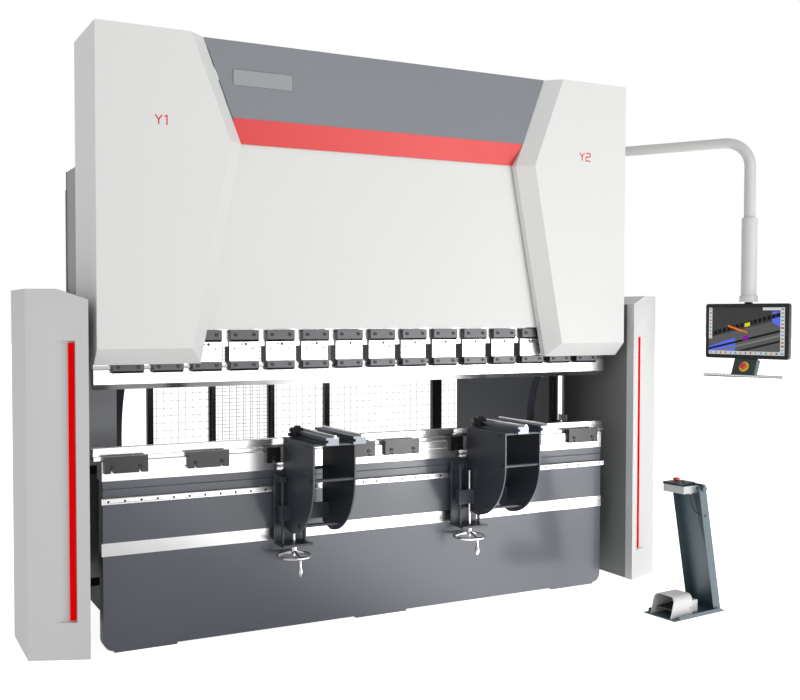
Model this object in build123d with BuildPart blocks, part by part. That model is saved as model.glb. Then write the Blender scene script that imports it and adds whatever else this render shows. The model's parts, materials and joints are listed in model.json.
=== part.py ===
from build123d import *
import os
from math import cos, radians, sin, sqrt, tan

# Hydraulic press brake with sheet supports, swing guards, a control pendant and a foot pedestal.
# Millimetres. +Z is up, -Y points at the operator, +X to the operator's right.
# The origin is on the floor, under the middle of the bend line, which runs along X at y = 0.

os.makedirs("parts", exist_ok=True)

# ---------------------------------------------------------------- driving dimensions
# table
TABLE_LENGTH = 3100
TABLE_THICK = 80
TABLE_FRONT = -60
TABLE_TOP = 865
TABLE_CORNER_R = 55
PAD_HEIGHT = 10
PAD_WIDTH = 320
GROOVE_Z = 823
GROOVE_SIZE = 3
CROWN_HEIGHT = 100
CROWN_LENGTH = 3104
CROWN_BACK = 50
CROWN_HOLE_PITCH = 428
CROWN_HOLE_R = 4.5
DIE_LENGTH = 3176
DIE_HEIGHT = 62
DIE_BASE_HALF = 40
DIE_BASE_HEIGHT = 20
DIE_WAIST_HALF = 22
DIE_HEAD_HALF = 29
DIE_HEAD_HEIGHT = 24
VEE_HALF = 20
DIE_CLAMP_WIDTH = 217
DIE_CLAMP_PITCH = 425
DIE_CLAMP_THICK = 25
DIE_CLAMP_DROP = 60
DIE_CLAMP_FIRST = (-1435, 121)
DIE_CLAMPS_PER_GROUP = 4
CLAMP_SCREW_R = 10
CLAMP_SCREW_OFFSET = 70

# rail and band on the table's front
RAIL_LENGTH = 3118
RAIL_DEPTH = 22
RAIL_Z = (749, 782)
RAIL_SCREW_PITCH = 82.5
RAIL_SCREWS = 38
RAIL_SCREW_R = 6
BAND_Z = (489, 555)
BAND_LENGTH = 3112
BAND_RECESS = 4
BAND_PROUD = 0.5

# side frames
FRAME_INNER_X = 1335
FRAME_THICK = 60
FRAME_TOP = 2600
FRAME_BACK = 1350
THROAT_RADIUS = 510
THROAT_Y = -67
THROAT_Z = 1018
ARM_FRONT = 60
CYLINDER_SEAT_Y = 125
CYLINDER_SEAT_Z = 2280
CYLINDER_SEAT_TOP = 2480
FOOT_WIDTH = 110
FOOT_LENGTH = 140
FOOT_THICK = 20
ANCHOR_X = 1450
ANCHOR_Y = (150, 1250)
ANCHOR_HOLE_R = 13
BEAM_WALL = 8

# ram
RAM_LENGTH = 3100
RAM_FRONT = -45
RAM_THICK = 80
RAM_BOTTOM = 1528
RAM_SHOULDER = 2250
RAM_TOP = 2900
RAM_CENTRE_HALF = 1150
STROKE = 295
PANEL_FRONT = -83
PANEL_BOTTOM = 1621
PANEL_WALL = 5

# upper tooling
UNITS = 15
UNIT_PITCH = 203
UNIT_WIDTH = 156
HOLDER_FRONT = -58
HOLDER_BACK = 20
HOLDER_TOP = 1600
HOLDER_STEP = 1449.5
PUNCH_LENGTH = 3170
PUNCH_TOP = 1418
PUNCH_FACE_BOTTOM = 1345
PUNCH_TIP = 1318
PUNCH_FRONT = -39
PUNCH_BACK = 30
TANG_Y = (-24, -10.5)
TANG_TOP = 1448
CLAMP_BAR_FRONT = -80
UPPER_BAR_Z = (1552, 1614)
LOWER_BAR_Z = (1401, 1449)
BAR_BEVEL = 12
BAR_SCREW_R = 9
BAR_SCREW_OFFSET = 50
SCREW_HEAD = 6
FIT_GAP = 0.5

# front covers, fascia and red band
COVER_OUTER_X = 1603
COVER_TOP_INNER_X = 1132
COVER_KNEE_X = 932
COVER_KNEE_Z = 2572
COVER_BOTTOM_INNER_X = 1133
COVER_FRONT = -212
COVER_BACK = 282
COVER_TOP = 3095
COVER_BOTTOM = 1527
COVER_BEVEL = 80
COVER_RETURN_Y = -90
COVER_WALL = 4
FASCIA_BOTTOM = 2704
FASCIA_GAP = 3
FASCIA_WALL = 4
RED_BOTTOM = 2580
RED_BACK = -87
NAME_PLATE = (324, 80, 6)
NAME_PLATE_AT = (-730, 2911)

# hydraulics
CYLINDER_X = 1365
CYLINDER_Y = RAM_FRONT + RAM_THICK / 2
CYLINDER_R = 112
CYLINDER_Z = (2300, 2880)
GLAND_HEIGHT = 45
BORE_R = 82
ROD_R = 60
ROD_GAP = 0.1
PISTON_HEIGHT = 55

# swing guards at both ends
GUARD_INNER_X = 1650
GUARD_OUTER_X = 1920
GUARD_INNER_FRONT = -250
GUARD_OUTER_FRONT = -137
GUARD_OUTER_BACK = 310
GUARD_INNER_BACK = 485
GUARD_BOTTOM = 46
GUARD_TOP = 1815
GUARD_SLOPE_X = 1785
GUARD_SLOPE_DROP = 50
GUARD_WALL = 4
GUARD_RETURN = 64
LINER_LAP = 14
LINER_WALL = 2
RECESS_Z = (225, 1570)
RECESS_DEPTH = 20
RECESS_FROM = 0.60
STRIP_FROM = 0.33
STRIP_TO = 0.235
RECESS_TO = 0.21
HINGE_X = 1640
HINGE_Y = 495
HINGE_R = 9
HINGE_PIN_R = 4
HINGE_KNUCKLE = 40
HINGE_Z = (300, 940, 1580)

# rear enclosure
POST_SIZE = 40
POST_X = 1605
SIDE_POST_Y = 530
FENCE_Y = 1630
FENCE_TOP = 1815
FENCE_RAIL_Z = 100
FENCE_FIRST_X = -1316
FENCE_PITCH = 428
FENCE_LAST_X = 1290
PANEL_SHEET = 3
WIRE = 3
WIRE_PITCH = 50
GATE_TUBE = 25
GATE_BAY = 2
GATE_WHEEL_R = 8

# electric cabinet on the left frame
CABINET_X = (-1582, -1395)
CABINET_Y = (300, 625)
CABINET_Z = (900, 2472)
CABINET_WALL = 3
DOOR_HINGE_R = 4

# back gauge
GAUGE_RAIL_X = 1000
GAUGE_RAIL_Y = (20, 800)
GAUGE_RAIL_Z = (740, 820)
GAUGE_BEAM_Y = (300, 380)
GAUGE_BEAM_Z = (850, 920)
GAUGE_BEAM_LENGTH = 2400
FINGER_X = 520

# sheet supports: carriage middle and left plate of each
SUPPORTS = {"left": (-577, -613), "right": (512, 528)}
SUPPORT_WIDTH = 235
SUPPORT_PLATE = 8
SUPPORT_FRONT = -520
SUPPORT_REAR = -114
SUPPORT_TOP = 1045
SUPPORT_BOTTOM = 550
SUPPORT_RADIUS = 310
SPACER_R = 9
CARRIAGE_HALF = 85
CARRIAGE_Y = (-112, -100)
CARRIAGE_Z = (478, 850)
COLUMN_R = 9
COLUMN_OFFSET = 62
SCREW_Y = -172
SCREW_R = 8
LIFT_BLOCK_Y = (-192, -152)
LIFT_BLOCK_Z = (610, 690)
WHEEL_R = 88
WHEEL_RIM_R = 8
WHEEL_Z = 418
STUD_R = 4
ARM_WIDTH = 70
ARM_HEIGHT = 40
ARM_FRONT_Y = -580
ARM_BACK_Y = -88
ARM_OFFSETS = (43, 193)
ARM_ROD_R = 8
SLOT_HEIGHT = 14
SLOT_DEPTH = 12
STOP_Y = (-205, -150)
SLIDE_GAP = 0.4

# control pendant
PIVOT = (1660, 144)
DROP = (2162, -690)
PENDANT_Z = 2736
PENDANT_TUBE_R = 34
PENDANT_TUBE_WALL = 4
PENDANT_BEND_R = 150
SLEEVE_R = 46
SLEEVE_TOP = 2280
COLLAR_R = 55
COLLAR_Z = (1775, 1812)
BRACKET_Z = (2470, 2590)
BRACKET_TUBE_Y = (114, 174)
BRACKET_TUBE_Z = (2490, 2570)
HMI_YAW = -75.8
HMI_CENTRE_Z = 1600
HMI_WIDTH = 550
HMI_HEIGHT = 332
HMI_DEPTH = 52
HMI_CORNER = 16
GLASS_THICK = 3
CONSOLE_TILT = 24
CONSOLE_WIDTH = 150
CONSOLE_HEIGHT = 108
CONSOLE_DEPTH = 36
CONSOLE_Z = 1386
HANDLE_BAR_R = 13
HANDLE_BAR_LENGTH = 524
ESTOP_RING_R = 31
ESTOP_R = 20
ESTOP_STEM_R = 11
ESTOP_TRAVEL = 6

# foot pedestal
PEDESTAL_AT = (1560, -812)
PEDESTAL_YAW = -84
BASE_WIDTH = 230
BASE_LENGTH = 415
BASE_THICK = 5
BASE_TAB = 22
POST_LEAN = 10.8
CHANNEL_WIDTH = 200
CHANNEL_DEPTH = 56
CHANNEL_WALL = 4
CHANNEL_LENGTH = 752
CHANNEL_FOOT_Y = 190
BOX_SIZE = (150, 126, 42)
LID_HEIGHT = 14
BOX_Z = 690
CABLE_R = 3.5
GLAND_X = 20
GLAND_Y = 100
GROMMET_Z = 560
GROMMET_SET = 26
PEDAL_GUARD_WIDTH = 150
PEDAL_GUARD_LENGTH = 175
PEDAL_GUARD_HEIGHT = 118
PEDAL_GUARD_FRONT = -195
PEDAL_GUARD_WALL = 4
PEDAL_PIN = (-34, 44)
PEDAL_PIN_R = 5
PEDAL_WIDTH = 112
PEDAL_LENGTH = 128

# ---------------------------------------------------------------- values worked out from them
FRAME_OUTER_X = FRAME_INNER_X + FRAME_THICK
TABLE_BACK = TABLE_FRONT + TABLE_THICK
RAM_BACK = RAM_FRONT + RAM_THICK
CROWN_TOP = TABLE_TOP + CROWN_HEIGHT
DIE_TOP = CROWN_TOP + DIE_HEIGHT
COVER_EDGE_Y = COVER_FRONT + COVER_BEVEL
FASCIA_FRONT = COVER_EDGE_Y - FASCIA_WALL
ROOF_UNDERSIDE = COVER_TOP - COVER_WALL
RAIL_FRONT = TABLE_FRONT - RAIL_DEPTH
BAND_FRONT = TABLE_FRONT - BAND_PROUD
UNIT_CENTRES = [(i - (UNITS - 1) / 2) * UNIT_PITCH for i in range(UNITS)]
DIE_CLAMP_CENTRES = [
    first + i * DIE_CLAMP_PITCH for first in DIE_CLAMP_FIRST for i in range(DIE_CLAMPS_PER_GROUP)
]
FENCE_POST_X = [FENCE_FIRST_X + i * FENCE_PITCH for i in range(5)]


# ---------------------------------------------------------------- helpers
def front_plane(y):
    """A plane facing the operator: its x is X, its y is Z; a negative extrusion goes back."""
    return Plane(origin=(0, y, 0), x_dir=(1, 0, 0), z_dir=(0, -1, 0))


def side_plane(x):
    """A plane facing +X: its x is Y and its y is Z."""
    return Plane(origin=(x, 0, 0), x_dir=(0, 1, 0), z_dir=(1, 0, 0))


def block(x, y, z, mode=Mode.ADD):
    """A box between three pairs of coordinates, given in either order."""
    with Locations(((x[0] + x[1]) / 2, (y[0] + y[1]) / 2, (z[0] + z[1]) / 2)):
        Box(abs(x[1] - x[0]), abs(y[1] - y[0]), abs(z[1] - z[0]), mode=mode)


def tube_beam(x, y, z):
    """A rectangular hollow beam along X."""
    block(x, y, z)
    inner_y = (y[0] + BEAM_WALL, y[1] - BEAM_WALL)
    inner_z = (z[0] + BEAM_WALL, z[1] - BEAM_WALL)
    block(x, inner_y, inner_z, mode=Mode.SUBTRACT)


def rod(start, end, radius, mode=Mode.ADD):
    """A round bar between two points."""
    along = Vector(*end) - Vector(*start)
    with Locations(Plane(origin=start, z_dir=along)):
        Cylinder(radius, along.length, align=(Align.CENTER, Align.CENTER, Align.MIN), mode=mode)


def prism(plane, points, amount, mode=Mode.ADD):
    """A straight-sided outline on a plane, extruded."""
    with BuildSketch(plane) as outline:
        with BuildLine():
            Polyline(*points, close=True)
        make_face()
    extrude(outline.sketch, amount=amount, mode=mode)


def socket_screw(head_centre, radius, height, mode=Mode.ADD):
    """A socket head facing the operator, with its hexagon recess."""
    x, y, z = head_centre
    rod((x, y, z), (x, y - height, z), radius, mode=mode)
    with BuildSketch(front_plane(y - height)) as recess:
        with Locations((x, z)):
            RegularPolygon(radius * 0.5, 6)
    extrude(recess.sketch, amount=-height * 0.6, mode=Mode.SUBTRACT)


def save(piece, label):
    """Labels a finished sub-part and writes it."""
    piece.part.label = label
    export_step(piece.part, f"parts/{label}.step")


# ---------------------------------------------------------------- table
def make_table_plate():
    with BuildPart() as table_plate:
        with BuildSketch(front_plane(TABLE_FRONT)) as outline:
            with Locations((0, (TABLE_TOP + PAD_HEIGHT) / 2)):
                Rectangle(TABLE_LENGTH, TABLE_TOP - PAD_HEIGHT)
            fillet(outline.vertices().group_by(Axis.Y)[0], TABLE_CORNER_R)
            pad_x = TABLE_LENGTH / 2 - TABLE_CORNER_R - PAD_WIDTH / 2
            with Locations(*[(x, PAD_HEIGHT / 2) for x in (-pad_x, 0, pad_x)]):
                Rectangle(PAD_WIDTH, PAD_HEIGHT)
        extrude(amount=-TABLE_THICK)
        half = TABLE_LENGTH / 2
        groove_y = (TABLE_FRONT, TABLE_FRONT + GROOVE_SIZE)
        block((-half, half), groove_y, (GROOVE_Z, GROOVE_Z + GROOVE_SIZE), Mode.SUBTRACT)
        recess_y = (TABLE_FRONT, TABLE_FRONT + BAND_RECESS)
        block((-half, half), recess_y, BAND_Z, Mode.SUBTRACT)
    save(table_plate, "table_plate")


def make_crowning_block():
    half = CROWN_LENGTH / 2
    with BuildPart() as crowning_block:
        block((-half, half), (TABLE_FRONT, CROWN_BACK), (TABLE_TOP, CROWN_TOP))
        chamfer(crowning_block.edges().filter_by(Axis.X).group_by(Axis.Z)[-1], 3)
        with BuildSketch(front_plane(TABLE_FRONT)):
            with Locations((0, TABLE_TOP + CROWN_HEIGHT * 0.6)):
                with GridLocations(CROWN_HOLE_PITCH, 1, 6, 1):
                    Circle(CROWN_HOLE_R)
        extrude(amount=-2 * GROOVE_SIZE, mode=Mode.SUBTRACT)
    save(crowning_block, "crowning_block")


def make_die():
    half = DIE_LENGTH / 2
    head_bottom = DIE_TOP - DIE_HEAD_HEIGHT
    right_side = [
        (DIE_BASE_HALF, CROWN_TOP),
        (DIE_BASE_HALF, CROWN_TOP + DIE_BASE_HEIGHT),
        (DIE_WAIST_HALF, CROWN_TOP + DIE_BASE_HEIGHT),
        (DIE_WAIST_HALF, head_bottom),
        (DIE_HEAD_HALF, head_bottom),
        (DIE_HEAD_HALF, DIE_TOP),
        (VEE_HALF, DIE_TOP),
    ]
    left_side = [(-y, z) for y, z in reversed(right_side)]
    with BuildPart() as die:
        prism(side_plane(-half), right_side + [(0, DIE_TOP - VEE_HALF)] + left_side, 2 * half)
    save(die, "die")


def make_die_clamps():
    face = TABLE_FRONT - DIE_CLAMP_THICK
    bottom = CROWN_TOP - DIE_CLAMP_DROP
    top = CROWN_TOP + DIE_BASE_HEIGHT + 4
    with BuildPart() as die_clamps:
        for centre in DIE_CLAMP_CENTRES:
            x = (centre - DIE_CLAMP_WIDTH / 2, centre + DIE_CLAMP_WIDTH / 2)
            block(x, (face, TABLE_FRONT), (bottom, top))
            block(x, (TABLE_FRONT, -DIE_BASE_HALF), (CROWN_TOP + FIT_GAP, top))
            for side in (-1, 1):
                slot_x = centre + side * CLAMP_SCREW_OFFSET
                block((slot_x - 7, slot_x + 7), (face, TABLE_FRONT), (bottom, bottom + 14), Mode.SUBTRACT)
                hole_z = CROWN_TOP - DIE_CLAMP_DROP / 2
                rod((slot_x, face, hole_z), (slot_x, TABLE_FRONT, hole_z), CLAMP_SCREW_R * 0.6, Mode.SUBTRACT)
    save(die_clamps, "die_clamps")


def make_table_screws():
    """The screws of the die clamps and of the rail."""
    clamp_face = TABLE_FRONT - DIE_CLAMP_THICK
    rail_z = sum(RAIL_Z) / 2
    with BuildPart() as table_screws:
        for centre in DIE_CLAMP_CENTRES:
            for side in (-1, 1):
                x = centre + side * CLAMP_SCREW_OFFSET
                z = CROWN_TOP - DIE_CLAMP_DROP / 2
                socket_screw((x, clamp_face, z), CLAMP_SCREW_R, SCREW_HEAD)
        for i in range(RAIL_SCREWS):
            x = (i - (RAIL_SCREWS - 1) / 2) * RAIL_SCREW_PITCH
            socket_screw((x, RAIL_FRONT + 9, rail_z), RAIL_SCREW_R - FIT_GAP, SCREW_HEAD)
    save(table_screws, "table_screws")


def make_support_rail():
    half = RAIL_LENGTH / 2
    middle = sum(RAIL_Z) / 2
    with BuildPart() as support_rail:
        block((-half, half), (RAIL_FRONT, TABLE_FRONT), RAIL_Z)
        chamfer(support_rail.edges().filter_by(Axis.X).group_by(Axis.Y)[0], 3)
        with BuildSketch(front_plane(RAIL_FRONT)):
            with Locations((0, middle)):
                with GridLocations(RAIL_SCREW_PITCH, 1, RAIL_SCREWS, 1):
                    Circle(RAIL_SCREW_R)
        extrude(amount=-9, mode=Mode.SUBTRACT)
    save(support_rail, "support_rail")


def make_steel_band():
    half = BAND_LENGTH / 2
    with BuildPart() as steel_band:
        block((-half, half), (BAND_FRONT, TABLE_FRONT + BAND_RECESS), BAND_Z)
    save(steel_band, "steel_band")


# ---------------------------------------------------------------- frames
def make_side_frame(side, label):
    """One C-shaped side plate, its throat an arc about a point in front of it, with two feet."""
    lower_throat = THROAT_Z - sqrt(THROAT_RADIUS**2 - (TABLE_BACK - THROAT_Y) ** 2)
    upper_throat = THROAT_Z + sqrt(THROAT_RADIUS**2 - (ARM_FRONT - THROAT_Y) ** 2)
    with BuildPart() as side_frame:
        with BuildSketch(side_plane(side * FRAME_INNER_X)):
            with BuildLine():
                Polyline((FRAME_BACK, 0), (TABLE_BACK, 0), (TABLE_BACK, lower_throat))
                ThreePointArc(
                    (TABLE_BACK, lower_throat),
                    (THROAT_Y + THROAT_RADIUS, THROAT_Z),
                    (ARM_FRONT, upper_throat),
                )
                Polyline(
                    (ARM_FRONT, upper_throat),
                    (ARM_FRONT, CYLINDER_SEAT_Z),
                    (CYLINDER_SEAT_Y, CYLINDER_SEAT_Z),
                    (CYLINDER_SEAT_Y, FRAME_TOP),
                    (FRAME_BACK - 200, FRAME_TOP),
                    (FRAME_BACK, FRAME_TOP - 260),
                    (FRAME_BACK, 0),
                )
            make_face()
        extrude(amount=side * FRAME_THICK)
        for y in ANCHOR_Y:
            foot_y = (y - FOOT_LENGTH / 2, y + FOOT_LENGTH / 2)
            outer = FRAME_OUTER_X + FOOT_WIDTH
            block((side * FRAME_OUTER_X, side * outer), foot_y, (0, FOOT_THICK))
            anchor = (side * ANCHOR_X, y)
            rod((*anchor, 0), (*anchor, FOOT_THICK), ANCHOR_HOLE_R, Mode.SUBTRACT)
    save(side_frame, label)


def make_frame_ties():
    """Hollow beams that join the two side frames, and the carrier that holds the covers."""
    inner = (-FRAME_INNER_X, FRAME_INNER_X)
    carrier_half = COVER_OUTER_X - COVER_WALL
    carrier_y = (200, 262)
    carrier_z = (ROOF_UNDERSIDE - 60, ROOF_UNDERSIDE)
    with BuildPart() as frame_ties:
        for y, z in (((1150, 1290), (200, 360)), ((950, 1090), (2380, 2520)), ((310, 450), (2380, 2520))):
            tube_beam(inner, y, z)
        tube_beam(inner, (200, 290), (1650, 1850))
        block((-carrier_half, carrier_half), carrier_y, carrier_z)
        for side in (-1, 1):
            frame_x = (side * FRAME_INNER_X, side * FRAME_OUTER_X)
            block(frame_x, carrier_y, (FRAME_TOP, carrier_z[0]))
            block((side * 560, side * 600), (COVER_EDGE_Y, carrier_y[0]), carrier_z)
            for z in (1700, 2230):
                block((side * FRAME_OUTER_X, side * carrier_half), (190, 230), (z, z + 40))
    save(frame_ties, "frame_ties")


def make_ram_guides():
    """Guide bars on the frames' front edges and the glass scales that read the ram's height."""
    with BuildPart() as ram_guides:
        for side in (-1, 1):
            bar_x = (side * (FRAME_INNER_X + 5), side * (FRAME_OUTER_X - 5))
            guide_top = RAM_SHOULDER - STROKE - 5
            block(bar_x, (RAM_BACK + FIT_GAP, ARM_FRONT), (1560, guide_top))
            arm_x = (side * FRAME_OUTER_X, side * 1500)
            block(arm_x, (100, 124), (1620, 1650))
            block(arm_x, (100, 124), (2020, 2050))
            block((side * 1500, side * 1524), (84, 124), (1580, 2090))
    save(ram_guides, "ram_guides")


# ---------------------------------------------------------------- covers
def inner_edge(inset):
    """Half-outline of a cover's inner edge, moved towards the middle by inset."""
    drop = COVER_TOP - COVER_KNEE_Z
    rise = COVER_KNEE_Z - COVER_BOTTOM
    upper_run = COVER_TOP_INNER_X - COVER_KNEE_X
    lower_run = COVER_BOTTOM_INNER_X - COVER_KNEE_X
    upper_shift = inset * sqrt(drop**2 + upper_run**2) / drop
    lower_shift = inset * sqrt(rise**2 + lower_run**2) / rise
    knee_shift = (upper_shift + lower_shift) / 2
    bottom_x = COVER_BOTTOM_INNER_X - lower_shift + inset * lower_run / rise
    return [
        (COVER_TOP_INNER_X - upper_shift, COVER_TOP),
        (COVER_KNEE_X - knee_shift, COVER_KNEE_Z),
        (bottom_x, COVER_BOTTOM - inset),
    ]


def cover_outline(side, inset):
    """A cover's whole outline, seen from the front."""
    inner = inner_edge(inset)
    outer = [(COVER_OUTER_X, COVER_BOTTOM - inset), (COVER_OUTER_X, COVER_TOP)]
    return [(side * x, z) for x, z in inner + outer]


def cover_blank(side, wall):
    """The solid that a cover's skin follows, wall inside its faces."""
    inset = COVER_BEVEL
    front = COVER_FRONT + wall
    shrink = wall * (sqrt(2) - 1)
    outer_x = COVER_OUTER_X - wall
    with BuildPart() as blank:
        with BuildSketch(front_plane(front)) as near:
            with BuildLine():
                Polyline(*cover_outline(side, -shrink), close=True)
            make_face()
        with BuildSketch(front_plane(COVER_EDGE_Y)) as far:
            with BuildLine():
                Polyline(*cover_outline(side, inset - wall), close=True)
            make_face()
        loft(sections=[near.sketch.faces()[0], far.sketch.faces()[0]], ruled=True)
        prism(front_plane(COVER_EDGE_Y), cover_outline(side, inset - wall), -(COVER_RETURN_Y - COVER_EDGE_Y))
        if wall:
            past = COVER_OUTER_X + FOOT_WIDTH
            block((side * outer_x, side * past), (COVER_FRONT, COVER_BACK), (0, 2 * COVER_TOP), Mode.SUBTRACT)
            above = (COVER_TOP - wall, COVER_TOP + FOOT_WIDTH)
            block((0, side * past), (COVER_FRONT, COVER_BACK), above, Mode.SUBTRACT)
    return blank


def make_front_cover(side, label):
    """A folded sheet cover: bevelled front, outer cheek back along the frame, and a roof."""
    outer_blank = cover_blank(side, 0)
    inner_blank = cover_blank(side, COVER_WALL)
    cheek_x = (side * (COVER_OUTER_X - COVER_WALL), side * COVER_OUTER_X)
    back_y = (COVER_RETURN_Y, COVER_BACK)
    roof_inner_x = inner_edge(COVER_BEVEL)[0][0]
    with BuildPart() as front_cover:
        add(outer_blank.part)
        add(inner_blank.part, mode=Mode.SUBTRACT)
        block(cheek_x, back_y, (COVER_BOTTOM - COVER_BEVEL, COVER_TOP))
        block((side * roof_inner_x, side * COVER_OUTER_X), back_y, (ROOF_UNDERSIDE, COVER_TOP))
        if side > 0:
            gap = 8
            hole_y = (BRACKET_TUBE_Y[0] - gap, BRACKET_TUBE_Y[1] + gap)
            hole_z = (BRACKET_TUBE_Z[0] - gap, BRACKET_TUBE_Z[1] + gap)
            block(cheek_x, hole_y, hole_z, Mode.SUBTRACT)
    save(front_cover, label)


def fascia_half_width(z):
    """Half the clear width between the covers' back edges at a height."""
    top, knee, _ = inner_edge(COVER_BEVEL)
    share = (z - knee[1]) / (top[1] - knee[1])
    return knee[0] + share * (top[0] - knee[0]) - FASCIA_GAP


def between_covers(bottom, top, front, back):
    """A private block that tapers with the covers' inner edges."""
    low, high = fascia_half_width(bottom), fascia_half_width(top)
    with BuildPart(mode=Mode.PRIVATE) as wedge:
        prism(front_plane(front), [(-low, bottom), (low, bottom), (high, top), (-high, top)], front - back)
    return wedge.part


def name_plate():
    """A blank raised plate on the fascia."""
    width, height, thick = NAME_PLATE
    with BuildPart() as plate:
        with BuildSketch(front_plane(FASCIA_FRONT)):
            with Locations(NAME_PLATE_AT):
                RectangleRounded(width, height, 8)
        extrude(amount=thick)
        chamfer(plate.faces().sort_by(Axis.Y)[0].edges(), 2)
    return plate


def make_upper_fascia():
    half = fascia_half_width(COVER_TOP)
    with BuildPart() as upper_fascia:
        add(between_covers(FASCIA_BOTTOM, COVER_TOP, FASCIA_FRONT, COVER_EDGE_Y))
        block((-half, half), (FASCIA_FRONT, COVER_BACK), (ROOF_UNDERSIDE, COVER_TOP))
        add(name_plate().part)
    save(upper_fascia, "upper_fascia")


def make_red_band():
    slope = [
        (FASCIA_FRONT, FASCIA_BOTTOM),
        (RED_BACK - FASCIA_WALL, RED_BOTTOM),
        (RED_BACK, RED_BOTTOM),
        (COVER_EDGE_Y, FASCIA_BOTTOM),
    ]
    half = fascia_half_width(FASCIA_BOTTOM)
    with BuildPart() as red_band:
        prism(side_plane(-half), slope, 2 * half)
        taper = between_covers(RED_BOTTOM, FASCIA_BOTTOM, FASCIA_FRONT - 50, 50)
        add(taper, mode=Mode.INTERSECT)
    save(red_band, "red_band")


# ---------------------------------------------------------------- hydraulics
def make_hydraulic_cylinders():
    low, high = CYLINDER_Z
    with BuildPart() as hydraulic_cylinders:
        for side in (-1, 1):
            x, y = side * CYLINDER_X, CYLINDER_Y
            rod((x, y, low), (x, y, high), CYLINDER_R)
            block((x - 105, x + 105), (y + 60, CYLINDER_SEAT_Y), (low + 10, CYLINDER_SEAT_TOP))
            rod((x, y, low + GLAND_HEIGHT), (x, y, high - 40), BORE_R, Mode.SUBTRACT)
            rod((x, y, low), (x, y, low + GLAND_HEIGHT), ROD_R + ROD_GAP, Mode.SUBTRACT)
            block((x - 90, x + 90), (y - 90, y + 90), (high, high + 60))
            block((x - 60, x + 60), (y - 70, y + 50), (high + 60, high + 150))
    save(hydraulic_cylinders, "hydraulic_cylinders")


def make_piston_rods():
    piston_top = CYLINDER_Z[1] - 65
    with BuildPart() as piston_rods:
        for side in (-1, 1):
            x, y = side * CYLINDER_X, CYLINDER_Y
            rod((x, y, RAM_SHOULDER), (x, y, piston_top), ROD_R)
            rod((x, y, piston_top - PISTON_HEIGHT), (x, y, piston_top), BORE_R - ROD_GAP)
            block((x - BORE_R, x + BORE_R), (RAM_FRONT, RAM_BACK), (RAM_SHOULDER, RAM_SHOULDER + 14))
    save(piston_rods, "piston_rods")


def make_hydraulic_unit():
    """Oil tank across the upper beams, with the pump motor and a valve block on its lid."""
    tank_x, tank_y, tank_z = (-450, 450), (312, 1088), (2520, 2836)
    wall = 6
    with BuildPart() as hydraulic_unit:
        block(tank_x, tank_y, tank_z)
        inner = [(low + wall, high - wall) for low, high in (tank_x, tank_y, tank_z)]
        block(*inner, mode=Mode.SUBTRACT)
        block((-470, 470), (300, 1100), (tank_z[1], tank_z[1] + 10))
        motor_z = tank_z[1] + 10 + 118
        block((-330, -30), (620, 780), (tank_z[1] + 10, tank_z[1] + 40))
        rod((-340, 700, motor_z), (0, 700, motor_z), 105)
        rod((0, 700, motor_z), (60, 700, motor_z), 60)
        block((60, 190), (630, 770), (tank_z[1] + 10, motor_z + 70))
        rod((330, 850, tank_z[1] + 10), (330, 850, tank_z[1] + 90), 35)
    save(hydraulic_unit, "hydraulic_unit")


# ---------------------------------------------------------------- ram
def make_ram_plate():
    half = RAM_LENGTH / 2
    right_side = [
        (half, RAM_BOTTOM),
        (half, RAM_SHOULDER),
        (RAM_CENTRE_HALF + 60, RAM_SHOULDER),
        (RAM_CENTRE_HALF, RAM_SHOULDER + 80),
        (RAM_CENTRE_HALF, RAM_TOP),
    ]
    left_side = [(-x, z) for x, z in reversed(right_side)]
    with BuildPart() as ram_plate:
        prism(front_plane(RAM_FRONT), right_side + left_side, -RAM_THICK)
    save(ram_plate, "ram_plate")


def make_ram_front_panel():
    half = RAM_CENTRE_HALF
    with BuildPart() as ram_front_panel:
        block((-half, half), (PANEL_FRONT, RAM_FRONT), (PANEL_BOTTOM, RAM_TOP))
        back = ram_front_panel.faces().sort_by(Axis.Y)[-1]
        offset(amount=-PANEL_WALL, openings=back)
    save(ram_front_panel, "ram_front_panel")


def make_tool_holders():
    """Adaptor bodies that hang under the ram and hook over its front edge."""
    section = [
        (HOLDER_FRONT, HOLDER_STEP),
        (HOLDER_FRONT, HOLDER_TOP),
        (RAM_FRONT, HOLDER_TOP),
        (RAM_FRONT, RAM_BOTTOM),
        (HOLDER_BACK, RAM_BOTTOM),
        (HOLDER_BACK, PUNCH_TOP + FIT_GAP),
        (TANG_Y[1] + FIT_GAP, PUNCH_TOP + FIT_GAP),
        (TANG_Y[1] + FIT_GAP, HOLDER_STEP),
    ]
    with BuildPart() as tool_holders:
        for centre in UNIT_CENTRES:
            prism(side_plane(centre - UNIT_WIDTH / 2), section, UNIT_WIDTH)
            with BuildSketch(front_plane(HOLDER_FRONT)) as holes:
                with Locations((centre - 40, 1506), (centre + 40, 1506), (centre + 14, 1530)):
                    Circle(3.5)
            extrude(holes.sketch, amount=-5, mode=Mode.SUBTRACT)
    save(tool_holders, "tool_holders")


def upper_bar_section():
    low, high = UPPER_BAR_Z
    front = CLAMP_BAR_FRONT
    bevel = [(front, low + BAR_BEVEL), (front + BAR_BEVEL, low)]
    return [(front, high), *bevel, (HOLDER_FRONT, low), (HOLDER_FRONT, high)]


def lower_bar_section():
    low, high = LOWER_BAR_Z
    front = CLAMP_BAR_FRONT
    return [
        (front, high),
        (front, low + BAR_BEVEL),
        (front + BAR_BEVEL, low),
        (PUNCH_FRONT - FIT_GAP, low),
        (PUNCH_FRONT - FIT_GAP, PUNCH_TOP + FIT_GAP),
        (TANG_Y[0] - FIT_GAP, PUNCH_TOP + FIT_GAP),
        (TANG_Y[0] - FIT_GAP, high),
    ]


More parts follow.
